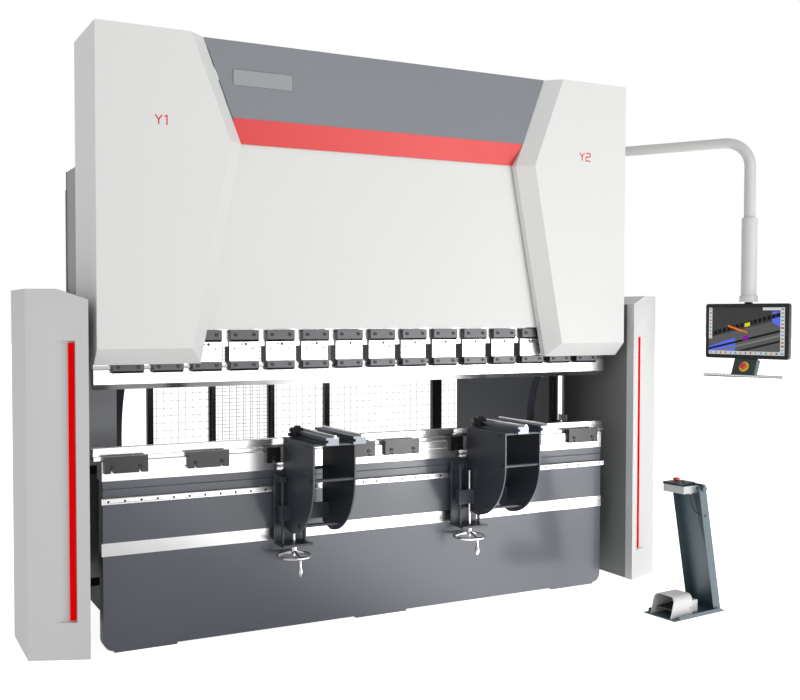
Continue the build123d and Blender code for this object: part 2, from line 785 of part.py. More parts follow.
def make_tool_clamp_bars():
    with BuildPart() as tool_clamp_bars:
        for centre in UNIT_CENTRES:
            left = side_plane(centre - UNIT_WIDTH / 2)
            prism(left, upper_bar_section(), UNIT_WIDTH)
            prism(left, lower_bar_section(), UNIT_WIDTH)
    save(tool_clamp_bars, "tool_clamp_bars")


def make_tool_clamp_screws():
    with BuildPart() as tool_clamp_screws:
        for centre in UNIT_CENTRES:
            for low, high in (UPPER_BAR_Z, LOWER_BAR_Z):
                z = (low + BAR_BEVEL + high) / 2
                for side in (-1, 1):
                    x = centre + side * BAR_SCREW_OFFSET
                    socket_screw((x, CLAMP_BAR_FRONT, z), BAR_SCREW_R, SCREW_HEAD)
    save(tool_clamp_screws, "tool_clamp_screws")


def make_punch_bar():
    nose = 4
    section = [
        (PUNCH_FRONT, PUNCH_TOP),
        (PUNCH_FRONT, PUNCH_FACE_BOTTOM),
        (-nose, PUNCH_TIP),
        (nose, PUNCH_TIP),
        (PUNCH_BACK, PUNCH_FACE_BOTTOM),
        (PUNCH_BACK, PUNCH_TOP),
        (TANG_Y[1], PUNCH_TOP),
        (TANG_Y[1], TANG_TOP),
        (TANG_Y[0], TANG_TOP),
        (TANG_Y[0], PUNCH_TOP),
    ]
    with BuildPart() as punch_bar:
        prism(side_plane(-PUNCH_LENGTH / 2), section, PUNCH_LENGTH)
    save(punch_bar, "punch_bar")


# ---------------------------------------------------------------- swing guards
def guard_face_point(side, share, depth=0):
    """A point on the slanted front face, share of the way from its inner edge, depth behind it."""
    run = Vector(GUARD_OUTER_X - GUARD_INNER_X, GUARD_OUTER_FRONT - GUARD_INNER_FRONT)
    along = run.normalized()
    x = GUARD_INNER_X + run.X * share - along.Y * depth
    y = GUARD_INNER_FRONT + run.Y * share + along.X * depth
    return (side * x, y)


def recess_outline(side, offset_depth=0):
    """Plan of the wedge-shaped recess that holds the light strip."""
    return [
        guard_face_point(side, RECESS_TO, -1),
        guard_face_point(side, STRIP_TO, RECESS_DEPTH + offset_depth),
        guard_face_point(side, STRIP_FROM, RECESS_DEPTH + offset_depth),
        guard_face_point(side, RECESS_FROM, -1),
    ]


def guard_blank(side, wall):
    """The solid inside the guard's skin, wall inside every face but the open inner one."""
    run = Vector(GUARD_OUTER_X - GUARD_INNER_X, GUARD_OUTER_FRONT - GUARD_INNER_FRONT).normalized()
    rear = Vector(GUARD_OUTER_X - GUARD_INNER_X, GUARD_OUTER_BACK - GUARD_INNER_BACK).normalized()
    inner_x, outer_x = GUARD_INNER_X, GUARD_OUTER_X - wall
    front_rise = wall / run.X
    rear_drop = wall / rear.X
    outer_front = GUARD_OUTER_FRONT + front_rise - wall * run.Y / run.X
    outer_back = GUARD_OUTER_BACK - rear_drop - wall * rear.Y / rear.X
    plan = [
        (side * inner_x, GUARD_INNER_FRONT + front_rise),
        (side * outer_x, outer_front),
        (side * outer_x, outer_back),
        (side * inner_x, GUARD_INNER_BACK - rear_drop),
    ]
    slope = GUARD_SLOPE_DROP / (GUARD_SLOPE_X - GUARD_INNER_X)
    with BuildPart() as blank:
        prism(Plane.XY.offset(GUARD_BOTTOM + wall), plan, GUARD_TOP - GUARD_BOTTOM - 2 * wall)
        top = GUARD_TOP - wall
        drop = slope * (GUARD_SLOPE_X - GUARD_INNER_X)
        wedge = [(side * GUARD_SLOPE_X, top), (side * inner_x, top - drop), (side * inner_x, top)]
        cut_depth = GUARD_INNER_BACK - GUARD_INNER_FRONT + 20
        prism(front_plane(GUARD_INNER_FRONT - 10), wedge, -cut_depth, Mode.SUBTRACT)
        with BuildSketch(Plane.XY.offset(RECESS_Z[0] - wall)) as recess:
            with BuildLine():
                Polyline(*recess_outline(side, wall), close=True)
            make_face()
        extrude(recess.sketch, amount=RECESS_Z[1] - RECESS_Z[0] + 2 * wall, mode=Mode.SUBTRACT)
    return blank


def make_guard(side, label):
    """A hollow sheet guard, its return edge, the liner that closes it, its light strip and hinges."""
    outer = guard_blank(side, 0)
    inner = guard_blank(side, GUARD_WALL)
    inside_x = side * GUARD_INNER_X
    wall_x = (inside_x, inside_x + side * GUARD_WALL)
    return_y = (GUARD_INNER_FRONT + 8, GUARD_INNER_FRONT + GUARD_RETURN)
    inner_top = GUARD_TOP - GUARD_SLOPE_DROP
    with BuildPart() as guard:
        add(outer.part)
        add(inner.part, mode=Mode.SUBTRACT)
        block(wall_x, return_y, (GUARD_BOTTOM, inner_top - 2))
        hinge = (side * HINGE_X, HINGE_Y)
        for z in HINGE_Z:
            base = z + HINGE_KNUCKLE + 1
            top = base + HINGE_KNUCKLE
            leaf_y = (GUARD_INNER_BACK - 60, HINGE_Y + 5)
            block((side * (HINGE_X + 3), inside_x), leaf_y, (base, top))
            rod((*hinge, base), (*hinge, top), HINGE_R)
            rod((*hinge, base), (*hinge, top), HINGE_PIN_R + ROD_GAP, Mode.SUBTRACT)
        liner_x = inside_x + side * GUARD_WALL
        liner_y = (GUARD_INNER_FRONT + GUARD_RETURN - LINER_LAP, GUARD_INNER_BACK - 22)
        liner_z = (GUARD_BOTTOM + GUARD_WALL, inner_top - 2 * GUARD_WALL)
        block((liner_x, liner_x + side * LINER_WALL), liner_y, liner_z)
        strip = [
            guard_face_point(side, STRIP_TO + 0.01, RECESS_DEPTH),
            guard_face_point(side, STRIP_FROM - 0.005, RECESS_DEPTH),
            guard_face_point(side, STRIP_FROM - 0.005, RECESS_DEPTH - 4),
            guard_face_point(side, STRIP_TO + 0.01, RECESS_DEPTH - 4),
        ]
        prism(Plane.XY.offset(RECESS_Z[0] + 10), strip, RECESS_Z[1] - RECESS_Z[0] - 20)
    save(guard, label)


# ---------------------------------------------------------------- rear enclosure
def make_fence_frame():
    """Posts and rails behind and beside the machine, with the fixed halves of the guard hinges."""
    post_x = (POST_X, POST_X + POST_SIZE)
    top_z = (FENCE_TOP - POST_SIZE, FENCE_TOP)
    low_z = (FENCE_RAIL_Z, FENCE_RAIL_Z + POST_SIZE)
    rear_y = (FENCE_Y, FENCE_Y + POST_SIZE)
    with BuildPart() as fence_frame:
        for side in (-1, 1):
            x = (side * post_x[0], side * post_x[1])
            for y in ((SIDE_POST_Y, SIDE_POST_Y + POST_SIZE), rear_y):
                block(x, y, (0, FENCE_TOP))
            for z in (top_z, low_z):
                block(x, (SIDE_POST_Y, FENCE_Y), z)
            for z in (200, 820):
                block((side * FRAME_OUTER_X, side * POST_X), (SIDE_POST_Y + 5, SIDE_POST_Y + 35), (z, z + 40))
            hinge = (side * HINGE_X, HINGE_Y)
            for z in HINGE_Z:
                block((side * (HINGE_X - 8), side * HINGE_X), (HINGE_Y, SIDE_POST_Y), (z, z + HINGE_KNUCKLE))
                rod((*hinge, z), (*hinge, z + HINGE_KNUCKLE), HINGE_R)
                rod((*hinge, z), (*hinge, z + 2 * HINGE_KNUCKLE + 5), HINGE_PIN_R)
        for z in (top_z, low_z):
            block((-POST_X, POST_X), rear_y, z)
        for x in FENCE_POST_X + [FENCE_LAST_X, FENCE_LAST_X + POST_SIZE]:
            block((x, x + POST_SIZE), rear_y, (0, FENCE_TOP))
        track_x = (FENCE_POST_X[0], FENCE_POST_X[3] + POST_SIZE)
        block(track_x, (FENCE_Y - 38, FENCE_Y), (FENCE_TOP - 6, FENCE_TOP))
        block(track_x, (FENCE_Y - 38, FENCE_Y - 34), (FENCE_TOP - 30, FENCE_TOP))
        block(track_x, (FENCE_Y - 38, FENCE_Y - 26), (FENCE_TOP - 30, FENCE_TOP - 26))
    save(fence_frame, "fence_frame")


def make_side_panels():
    """Sheet panels that close both sides behind the guards, and the narrow rear bay at each end."""
    panel_y = (SIDE_POST_Y, FENCE_Y + POST_SIZE)
    with BuildPart() as side_panels:
        for side in (-1, 1):
            face = side * (POST_X + POST_SIZE)
            block((face, face + side * PANEL_SHEET), panel_y, (130, FENCE_TOP - 4))
        rear_y = (FENCE_Y + POST_SIZE, FENCE_Y + POST_SIZE + PANEL_SHEET)
        block((-POST_X - POST_SIZE, FENCE_FIRST_X + POST_SIZE), rear_y, (130, FENCE_TOP - 4))
    save(side_panels, "side_panels")


def mesh_panel(left, right, low, high, y):
    """A welded grille between four edges, its front at y."""
    count_x = round((right - left) / WIRE_PITCH)
    count_z = round((high - low) / WIRE_PITCH)
    pitch_x, pitch_z = (right - left) / count_x, (high - low) / count_z
    with BuildSketch(front_plane(y)) as grille:
        with Locations(((left + right) / 2, (low + high) / 2)):
            Rectangle(right - left, high - low)
            with GridLocations(pitch_x, pitch_z, count_x, count_z):
                Rectangle(pitch_x - WIRE, pitch_z - WIRE, mode=Mode.SUBTRACT)
    extrude(grille.sketch, amount=-WIRE)


def make_fence_mesh():
    low, high = FENCE_RAIL_Z + POST_SIZE, FENCE_TOP - POST_SIZE
    posts = FENCE_POST_X[1:] + [FENCE_LAST_X]
    with BuildPart() as fence_mesh:
        for left, right in zip(posts, posts[1:]):
            mesh_panel(left + POST_SIZE, right, low, high, FENCE_Y + POST_SIZE / 2)
        mesh_panel(FENCE_LAST_X + 2 * POST_SIZE, POST_X, low, high, FENCE_Y + POST_SIZE / 2)
    save(fence_mesh, "fence_mesh")


def make_rear_gate():
    """A sliding mesh gate that hangs from the track behind the machine."""
    left = FENCE_POST_X[GATE_BAY] + 8
    right = FENCE_POST_X[GATE_BAY + 1] + POST_SIZE - 8
    y = (FENCE_Y - 30, FENCE_Y - 30 + GATE_TUBE)
    low, high = FENCE_RAIL_Z + 20, FENCE_TOP - 50
    with BuildPart() as rear_gate:
        for x in (left, right - GATE_TUBE):
            block((x, x + GATE_TUBE), y, (low, high))
        for z in (low, high - GATE_TUBE):
            block((left, right), y, (z, z + GATE_TUBE))
        mesh_panel(left + GATE_TUBE, right - GATE_TUBE, low + GATE_TUBE, high - GATE_TUBE, y[0] + 10)
        for x in (left + 60, right - 60):
            wheel_z = FENCE_TOP - 26 + GATE_WHEEL_R + 0.3
            rod((x, FENCE_Y - 33, wheel_z), (x, FENCE_Y - 20, wheel_z), GATE_WHEEL_R)
            block((x - 20, x + 20), (FENCE_Y - 25, FENCE_Y - 15), (high, FENCE_TOP - 10))
    save(rear_gate, "rear_gate")


# ---------------------------------------------------------------- electric cabinet
def make_electric_cabinet():
    """A sheet cabinet on the left frame's outer face, open at the back, with its mounting plate."""
    with BuildPart() as electric_cabinet:
        block(CABINET_X, CABINET_Y, CABINET_Z)
        back = electric_cabinet.faces().sort_by(Axis.Y)[-1]
        offset(amount=-CABINET_WALL, openings=back)
        plate_x = (CABINET_X[1] - CABINET_WALL, CABINET_X[1] - CABINET_WALL - 20)
        block(plate_x, (CABINET_Y[0] + 20, CABINET_Y[1] - 40), (CABINET_Z[0] + 60, CABINET_Z[1] - 60))
        for row in range(4):
            low = CABINET_Z[0] + 120 + row * 340
            block((plate_x[1], plate_x[1] - 70), (CABINET_Y[0] + 50, CABINET_Y[1] - 80), (low, low + 220))
    save(electric_cabinet, "electric_cabinet")


def make_cabinet_door():
    """The door over the cabinet's open back, hinged at its outer edge, with a turned latch."""
    hinge = (CABINET_X[0] - DOOR_HINGE_R, CABINET_Y[1] + DOOR_HINGE_R)
    low, high = CABINET_Z
    with BuildPart() as cabinet_door:
        door_y = (CABINET_Y[1] + FIT_GAP, CABINET_Y[1] + FIT_GAP + CABINET_WALL)
        block((hinge[0], CABINET_X[1]), door_y, (low, high))
        rod((*hinge, low + 100), (*hinge, high - 100), DOOR_HINGE_R)
        latch_x = CABINET_X[1] - 30
        middle = (low + high) / 2
        rod((latch_x, door_y[1], middle), (latch_x, door_y[1] + 8, middle), 14)
        block((latch_x - 6, latch_x + 6), (door_y[1] + 8, door_y[1] + 14), (middle - 30, middle + 30))
    save(cabinet_door, "cabinet_door")


# ---------------------------------------------------------------- back gauge
def make_backgauge_rails():
    """Two arms behind the table, each with a rail, a ball screw and a drive."""
    low, high = GAUGE_RAIL_Z
    with BuildPart() as backgauge_rails:
        for x in (-GAUGE_RAIL_X, GAUGE_RAIL_X):
            block((x - 45, x + 45), (GAUGE_RAIL_Y[0], GAUGE_RAIL_Y[1]), (low, high))
            block((x - 12, x + 12), (GAUGE_RAIL_Y[0] + 40, GAUGE_RAIL_Y[1] - 20), (high, high + 14))
            block((x - 40, x + 40), (GAUGE_RAIL_Y[1] - 160, GAUGE_RAIL_Y[1] - 20), (low - 80, low))
    save(backgauge_rails, "backgauge_rails")


def make_backgauge_beam():
    low, high = GAUGE_BEAM_Z
    half = GAUGE_BEAM_LENGTH / 2
    rail_top = GAUGE_RAIL_Z[1] + 14
    with BuildPart() as backgauge_beam:
        block((-half, half), GAUGE_BEAM_Y, (low, high))
        for x in (-GAUGE_RAIL_X, GAUGE_RAIL_X):
            block((x - 40, x + 40), (GAUGE_BEAM_Y[0] - 20, GAUGE_BEAM_Y[1] + 20), (GAUGE_RAIL_Z[1] + 4, low))
            slot = (x - 12 - SLIDE_GAP, x + 12 + SLIDE_GAP)
            block(slot, (0, 800), (GAUGE_RAIL_Z[1], rail_top + SLIDE_GAP), Mode.SUBTRACT)
    save(backgauge_beam, "backgauge_beam")


def make_finger(side, label):
    """A stop finger that straddles the beam and reaches towards the bend line."""
    x = side * FINGER_X
    top = GAUGE_BEAM_Z[1]
    with BuildPart() as finger:
        front, back = GAUGE_BEAM_Y
        block((x - 45, x + 45), (front - 12, back + 12), (top + SLIDE_GAP, top + 24))
        for cheek_y in ((front - 12, front - SLIDE_GAP), (back + SLIDE_GAP, back + 12)):
            block((x - 45, x + 45), cheek_y, (top - 30, top + 24))
        block((x - 22, x + 22), (150, GAUGE_BEAM_Y[1]), (top + 24, top + 44))
        block((x - 30, x + 30), (132, 152), (top + 24, top + 60))
    save(finger, label)


# ---------------------------------------------------------------- sheet supports
def make_support_carriage(centre, label):
    """Back plate on the rail shoe, with a wear pad on the band, guide columns and a foot plate."""
    x = (centre - CARRIAGE_HALF, centre + CARRIAGE_HALF)
    low, high = CARRIAGE_Z
    foot_top = low + 12
    shoe_y = (CARRIAGE_Y[1], RAIL_FRONT + 16)
    with BuildPart() as carriage:
        block(x, CARRIAGE_Y, CARRIAGE_Z)
        block((x[0] + 5, x[1] - 5), shoe_y, (RAIL_Z[0] - 14, RAIL_Z[1] + 14))
        slot_z = (RAIL_Z[0] - SLIDE_GAP, RAIL_Z[1] + SLIDE_GAP)
        block(x, (RAIL_FRONT - SLIDE_GAP, TABLE_FRONT), slot_z, Mode.SUBTRACT)
        pad_y = (CARRIAGE_Y[1], BAND_FRONT - SLIDE_GAP)
        block((centre - 40, centre + 40), pad_y, (BAND_Z[0] + 8, BAND_Z[1] - 8))
        block(x, (CARRIAGE_Y[0], -240), (low, foot_top))
        rod((centre, SCREW_Y, low), (centre, SCREW_Y, foot_top), SCREW_R + ROD_GAP, Mode.SUBTRACT)
        for side in (-1, 1):
            column = (centre + side * COLUMN_OFFSET, SCREW_Y)
            rod((*column, foot_top), (*column, high - 10), COLUMN_R)
            block((column[0] - 14, column[0] + 14), (SCREW_Y - 14, CARRIAGE_Y[0]), (high - 35, high - 10))
    save(carriage, label)


def make_support_bracket(centre, left, label):
    """Two curved side plates with spacers, a top plate and the block that climbs the screw."""
    right = left + SUPPORT_WIDTH
    plate_top = SUPPORT_TOP - 10
    arc_z = SUPPORT_BOTTOM + SUPPORT_RADIUS
    arc_y = SUPPORT_FRONT + SUPPORT_RADIUS
    half_chord = SUPPORT_RADIUS * sqrt(0.5)
    with BuildPart() as bracket:
        for x in (left, right - SUPPORT_PLATE):
            with BuildSketch(side_plane(x)) as plate:
                with BuildLine():
                    heel = (SUPPORT_REAR, SUPPORT_BOTTOM + 25)
                    Polyline((arc_y, SUPPORT_BOTTOM), heel, (SUPPORT_REAR, plate_top))
                    Polyline((SUPPORT_REAR, plate_top), (SUPPORT_FRONT, plate_top), (SUPPORT_FRONT, arc_z))
                    ThreePointArc(
                        (SUPPORT_FRONT, arc_z),
                        (arc_y - half_chord, arc_z - half_chord),
                        (arc_y, SUPPORT_BOTTOM),
                    )
                make_face()
            extrude(plate.sketch, amount=SUPPORT_PLATE)
        block((left, right), (SUPPORT_FRONT, SUPPORT_REAR), (plate_top, SUPPORT_TOP))
        for y, z in ((-503, 862), (-330, 604), (-130, 872)):
            rod((left, y, z), (right, y, z), SPACER_R)
        block((centre - COLUMN_OFFSET - 18, right - SUPPORT_PLATE), LIFT_BLOCK_Y, LIFT_BLOCK_Z)
        low, high = LIFT_BLOCK_Z
        rod((centre, SCREW_Y, low), (centre, SCREW_Y, high), SCREW_R + ROD_GAP, Mode.SUBTRACT)
        for side in (-1, 1):
            column = (centre + side * COLUMN_OFFSET, SCREW_Y)
            rod((*column, low), (*column, high), COLUMN_R + ROD_GAP, Mode.SUBTRACT)
    save(bracket, label)


def arm_x(left, index):
    """Left edge of one of a support's two arms."""
    return left + ARM_OFFSETS[index]


def make_support_arms(left, label):
    """Two slotted bars on the top plate, each with a round slide rod let into its top."""
    top = SUPPORT_TOP + ARM_HEIGHT
    slot_z = SUPPORT_TOP + ARM_HEIGHT / 2
    y = (ARM_FRONT_Y, ARM_BACK_Y)
    with BuildPart() as arms:
        for index in range(len(ARM_OFFSETS)):
            x = arm_x(left, index)
            block((x, x + ARM_WIDTH), y, (SUPPORT_TOP, top))
            slot = (slot_z - SLOT_HEIGHT / 2, slot_z + SLOT_HEIGHT / 2)
            block((x, x + SLOT_DEPTH), y, slot, Mode.SUBTRACT)
            rod_x = x + ARM_WIDTH * 0.72
            ends = (rod_x, y[0], top + 2), (rod_x, y[1], top + 2)
            rod(*ends, ARM_ROD_R + 0.2, Mode.SUBTRACT)
        for index in range(len(ARM_OFFSETS)):
            rod_x = arm_x(left, index) + ARM_WIDTH * 0.72
            rod((rod_x, y[0] - 2, top + 2), (rod_x, y[1], top + 2), ARM_ROD_R)
    save(arms, label)


def make_support_stop(left, label):
    """A sheet stop that clamps in the first arm's side slot."""
    edge = arm_x(left, 0)
    top = SUPPORT_TOP + ARM_HEIGHT
    slot_z = SUPPORT_TOP + ARM_HEIGHT / 2
    nut = SLOT_HEIGHT / 2 - 1
    with BuildPart() as stop:
        block((edge - 18, edge - SLIDE_GAP), STOP_Y, (SUPPORT_TOP + 7, top + 14))
        block((edge - 18, edge + 34), STOP_Y, (top + SLIDE_GAP, top + 14))
        block((edge - 2, edge + SLOT_DEPTH - 2), STOP_Y, (slot_z - nut, slot_z + nut))
        middle = sum(STOP_Y) / 2
        rod((edge - 18, middle, slot_z), (edge - 40, middle, slot_z), 8)
        block((edge - 10, edge + 22), (STOP_Y[0] + 6, STOP_Y[0] + 22), (top + 14, top + 26))
    save(stop, label)


def make_handwheel(centre, label):
    """Lead screw with a dished three-spoke handwheel under the carriage's foot plate."""
    hub_top = CARRIAGE_Z[0] - FIT_GAP
    with BuildPart() as handwheel:
        rod((centre, SCREW_Y, WHEEL_Z), (centre, SCREW_Y, 800), SCREW_R)
        rod((centre, SCREW_Y, WHEEL_Z + 14), (centre, SCREW_Y, hub_top - 12), 17)
        rod((centre, SCREW_Y, hub_top - 12), (centre, SCREW_Y, hub_top), 12)
        with Locations((centre, SCREW_Y, WHEEL_Z)):
            Torus(WHEEL_R, WHEEL_RIM_R)
        for turn in (30, 150, 270):
            reach = (centre + WHEEL_R * cos(radians(turn)), SCREW_Y + WHEEL_R * sin(radians(turn)), WHEEL_Z)
            rod((centre, SCREW_Y, WHEEL_Z + 32), reach, 6)
        stud_y = SCREW_Y - WHEEL_R
        rod((centre, stud_y, WHEEL_Z), (centre, stud_y, WHEEL_Z - 92), STUD_R)
    save(handwheel, label)


def make_wheel_handle(centre, label):
    """The turned grip that spins on the handwheel's stud."""
    stud_y = SCREW_Y - WHEEL_R
    top = WHEEL_Z - WHEEL_RIM_R - 1
    bore = STUD_R + ROD_GAP
    with BuildPart() as wheel_handle:
        with BuildSketch(Plane(origin=(centre, stud_y, top), x_dir=(1, 0, 0), z_dir=(0, -1, 0))):
            with BuildLine():
                Polyline((bore, -82), (bore, 0), (8, 0), (8, -6))
                Spline((8, -6), (7, -22), (13, -58), (bore, -82))
            make_face()
        revolve(axis=Axis((centre, stud_y, 0), (0, 0, 1)))
    save(wheel_handle, label)


def make_supports():
    for name, (centre, left) in SUPPORTS.items():
        make_support_carriage(centre, f"{name}_support_carriage")
        make_support_bracket(centre, left, f"{name}_support_bracket")
        make_support_arms(left, f"{name}_support_arms")
        make_support_stop(left, f"{name}_support_stop")
        make_handwheel(centre, f"{name}_handwheel")
        make_wheel_handle(centre, f"{name}_wheel_handle")


# ---------------------------------------------------------------- control pendant
def make_pendant_bracket():
    """Bracket from the right frame through the cover, with the sleeve that the arm turns in."""
    with BuildPart() as pendant_bracket:
        block((FRAME_OUTER_X, FRAME_OUTER_X + 20), (CYLINDER_SEAT_Y + 5, 330), (2430, FRAME_TOP))
        block((FRAME_OUTER_X, PIVOT[0] - 30), BRACKET_TUBE_Y, BRACKET_TUBE_Z)
        rod((*PIVOT, BRACKET_Z[0]), (*PIVOT, BRACKET_Z[1]), PENDANT_TUBE_R + 14)
        rod((*PIVOT, BRACKET_Z[0]), (*PIVOT, BRACKET_Z[1]), PENDANT_TUBE_R + ROD_GAP, Mode.SUBTRACT)
    save(pendant_bracket, "pendant_bracket")


def make_pendant_arm():
    """Bent tube from the pivot over to the drop, with its sleeve and collar."""
    with BuildPart() as pendant_arm:
        with BuildLine() as route:
            FilletPolyline(
                (*PIVOT, BRACKET_Z[0] - 20),
                (*PIVOT, PENDANT_Z),
                (*DROP, PENDANT_Z),
                (*DROP, COLLAR_Z[0]),
                radius=PENDANT_BEND_R,
            )
        with BuildSketch(Plane(origin=route.line @ 0, z_dir=route.line % 0)):
            Circle(PENDANT_TUBE_R)
            Circle(PENDANT_TUBE_R - PENDANT_TUBE_WALL, mode=Mode.SUBTRACT)
        sweep()
        rod((*PIVOT, BRACKET_Z[1] + FIT_GAP), (*PIVOT, BRACKET_Z[1] + 14), PENDANT_TUBE_R + 12)
        rod((*DROP, COLLAR_Z[1]), (*DROP, SLEEVE_TOP), SLEEVE_R)
        rod((*DROP, COLLAR_Z[0]), (*DROP, COLLAR_Z[1]), COLLAR_R)
    save(pendant_arm, "pendant_arm")


def hmi_plane(forward, z):
    """An upright plane that faces as the screen does, forward of the drop tube's axis."""
    yaw = radians(HMI_YAW)
    facing = Vector(sin(yaw), -cos(yaw), 0)
    origin = Vector(*DROP, z) + facing * forward
    return Plane(origin=origin, x_dir=(cos(yaw), sin(yaw), 0), z_dir=facing)


def console_plane():
    """The tilted face of the console under the screen."""
    upright = hmi_plane(44, CONSOLE_Z)
    facing = upright.z_dir * cos(radians(CONSOLE_TILT)) + Vector(0, 0, sin(radians(CONSOLE_TILT)))
    return Plane(origin=upright.origin, x_dir=upright.x_dir, z_dir=facing)


def make_hmi_housing():
    top = HMI_CENTRE_Z + HMI_HEIGHT / 2
    with BuildPart() as hmi_housing:
        with BuildSketch(hmi_plane(HMI_DEPTH / 2, HMI_CENTRE_Z)):
            RectangleRounded(HMI_WIDTH, HMI_HEIGHT, HMI_CORNER)
        extrude(amount=-HMI_DEPTH * 0.55)
        with BuildSketch(hmi_plane(-HMI_DEPTH * 0.05, HMI_CENTRE_Z)):
            RectangleRounded(HMI_WIDTH - 60, HMI_HEIGHT - 50, HMI_CORNER)
        extrude(amount=-HMI_DEPTH * 0.7, taper=12)
        rod((*DROP, top - 20), (*DROP, COLLAR_Z[0] - FIT_GAP), 24)
    save(hmi_housing, "hmi_housing")


def make_hmi_glass():
    with BuildPart() as hmi_glass:
        with BuildSketch(hmi_plane(HMI_DEPTH / 2, HMI_CENTRE_Z)):
            RectangleRounded(HMI_WIDTH - 8, HMI_HEIGHT - 8, HMI_CORNER - 3)
        extrude(amount=GLASS_THICK)
    save(hmi_glass, "hmi_glass")


def make_hmi_console():
    """Tilted console with the emergency stop's yellow ring, its neck and the handle bar."""
    face = console_plane()
    housing_bottom = HMI_CENTRE_Z - HMI_HEIGHT / 2
    low = face.origin - face.y_dir * (CONSOLE_HEIGHT / 2 + 4) - face.z_dir * CONSOLE_DEPTH * 0.35
    with BuildPart() as hmi_console:
        with BuildSketch(face):
            Rectangle(CONSOLE_WIDTH, CONSOLE_HEIGHT)
        extrude(amount=-CONSOLE_DEPTH)
        neck = hmi_plane(0, housing_bottom - 24)
        with BuildSketch(neck):
            Rectangle(CONSOLE_WIDTH - 20, 48)
        extrude(amount=HMI_DEPTH * 0.4)
        above = Plane.XY.offset(housing_bottom)
        with BuildSketch(above) as trim:
            with Locations(DROP):
                Circle(400)
        extrude(trim.sketch, amount=200, mode=Mode.SUBTRACT)
        half = face.x_dir * (HANDLE_BAR_LENGTH / 2)
        rod(tuple(low - half), tuple(low + half), HANDLE_BAR_R)
        ring_end = face.origin + face.z_dir * 3
        rod(tuple(face.origin), tuple(ring_end), ESTOP_RING_R)
        rod(tuple(ring_end), tuple(ring_end - face.z_dir * 20), ESTOP_STEM_R + ROD_GAP, Mode.SUBTRACT)
    save(hmi_console, "hmi_console")


def mushroom(face, label):
    """A mushroom push button whose stem stands in a hole along a plane's normal."""
    with BuildPart() as button:
        start = face.origin - face.z_dir * 10
        cap = face.origin + face.z_dir * (3 + ESTOP_TRAVEL + 2)
        top = cap + face.z_dir * 12
        rod(tuple(start), tuple(cap), ESTOP_STEM_R)
        rod(tuple(cap), tuple(top), ESTOP_R)
        circles = button.edges().filter_by(GeomType.CIRCLE)
        rim = circles.sort_by(lambda edge: (edge.center() - cap).dot(face.z_dir))[-1]
        fillet(rim, 5)
    save(button, label)


# ---------------------------------------------------------------- foot pedestal
PEDESTAL = Plane(
    origin=(*PEDESTAL_AT, 0),
    x_dir=(cos(radians(PEDESTAL_YAW)), sin(radians(PEDESTAL_YAW)), 0),
    z_dir=(0, 0, 1),
)


def place_pedestal(local, label):
    """Moves a piece from the pedestal's own frame to its place on the floor."""
    with BuildPart() as placed:
        with Locations(PEDESTAL):
            add(local.part)
    save(placed, label)


def channel_y(z):
    """Where the leaning channel's web is at a height."""
    return CHANNEL_FOOT_Y - z * tan(radians(POST_LEAN))


def make_pedestal_stand():
    """Folded base plate, leaning channel and the shelf under the control box."""
    half = BASE_WIDTH / 2
    lean = radians(POST_LEAN)
    foot = Plane(origin=(0, CHANNEL_FOOT_Y, 0), x_dir=(1, 0, 0), z_dir=(0, -sin(lean), cos(lean)))
    shelf_z = BOX_Z - CHANNEL_WALL
    with BuildPart() as stand:
        with BuildSketch(foot) as section:
            with Locations((0, CHANNEL_WALL / 2)):
                Rectangle(CHANNEL_WIDTH, CHANNEL_WALL)
            for side in (-1, 1):
                with Locations((side * (CHANNEL_WIDTH - CHANNEL_WALL) / 2, CHANNEL_WALL - CHANNEL_DEPTH / 2)):
                    Rectangle(CHANNEL_WALL, CHANNEL_DEPTH)
        extrude(amount=CHANNEL_LENGTH)
        block((-300, 300), (-300, 400), (-100, 0), Mode.SUBTRACT)
        block((-half, half), (-BASE_LENGTH / 2, BASE_LENGTH / 2), (0, BASE_THICK))
        for side in (-1, 1):
            tab_x = (side * half, side * (half - BASE_THICK + 1))
            block(tab_x, (-BASE_LENGTH / 2 + 40, BASE_LENGTH / 2 - 30), (0, BASE_TAB))
        block((-88, 0), (channel_y(shelf_z) - 118, channel_y(shelf_z) + 2), (shelf_z, BOX_Z))
        wall_x = CHANNEL_WIDTH / 2
        grommet_y = channel_y(GROMMET_Z) - GROMMET_SET
        grommet_inside = (wall_x - 10, grommet_y, GROMMET_Z)
        grommet_outside = (wall_x + 4, grommet_y, GROMMET_Z)
        rod(grommet_inside, grommet_outside, 9)
        rod(grommet_inside, grommet_outside, CABLE_R, Mode.SUBTRACT)
        top_z = CHANNEL_LENGTH * cos(lean) - 20
        knob_y = channel_y(top_z) - 24
        rod((60, knob_y, top_z), (wall_x + 18, knob_y, top_z), 8)
        rod((wall_x + 6, knob_y, top_z), (wall_x + 18, knob_y, top_z), 15)
    place_pedestal(stand, "pedestal_stand")


def box_place():
    """Corner of the control box nearest the left flange, on the shelf."""
    return (-92, channel_y(BOX_Z) - BOX_SIZE[1] - 12)


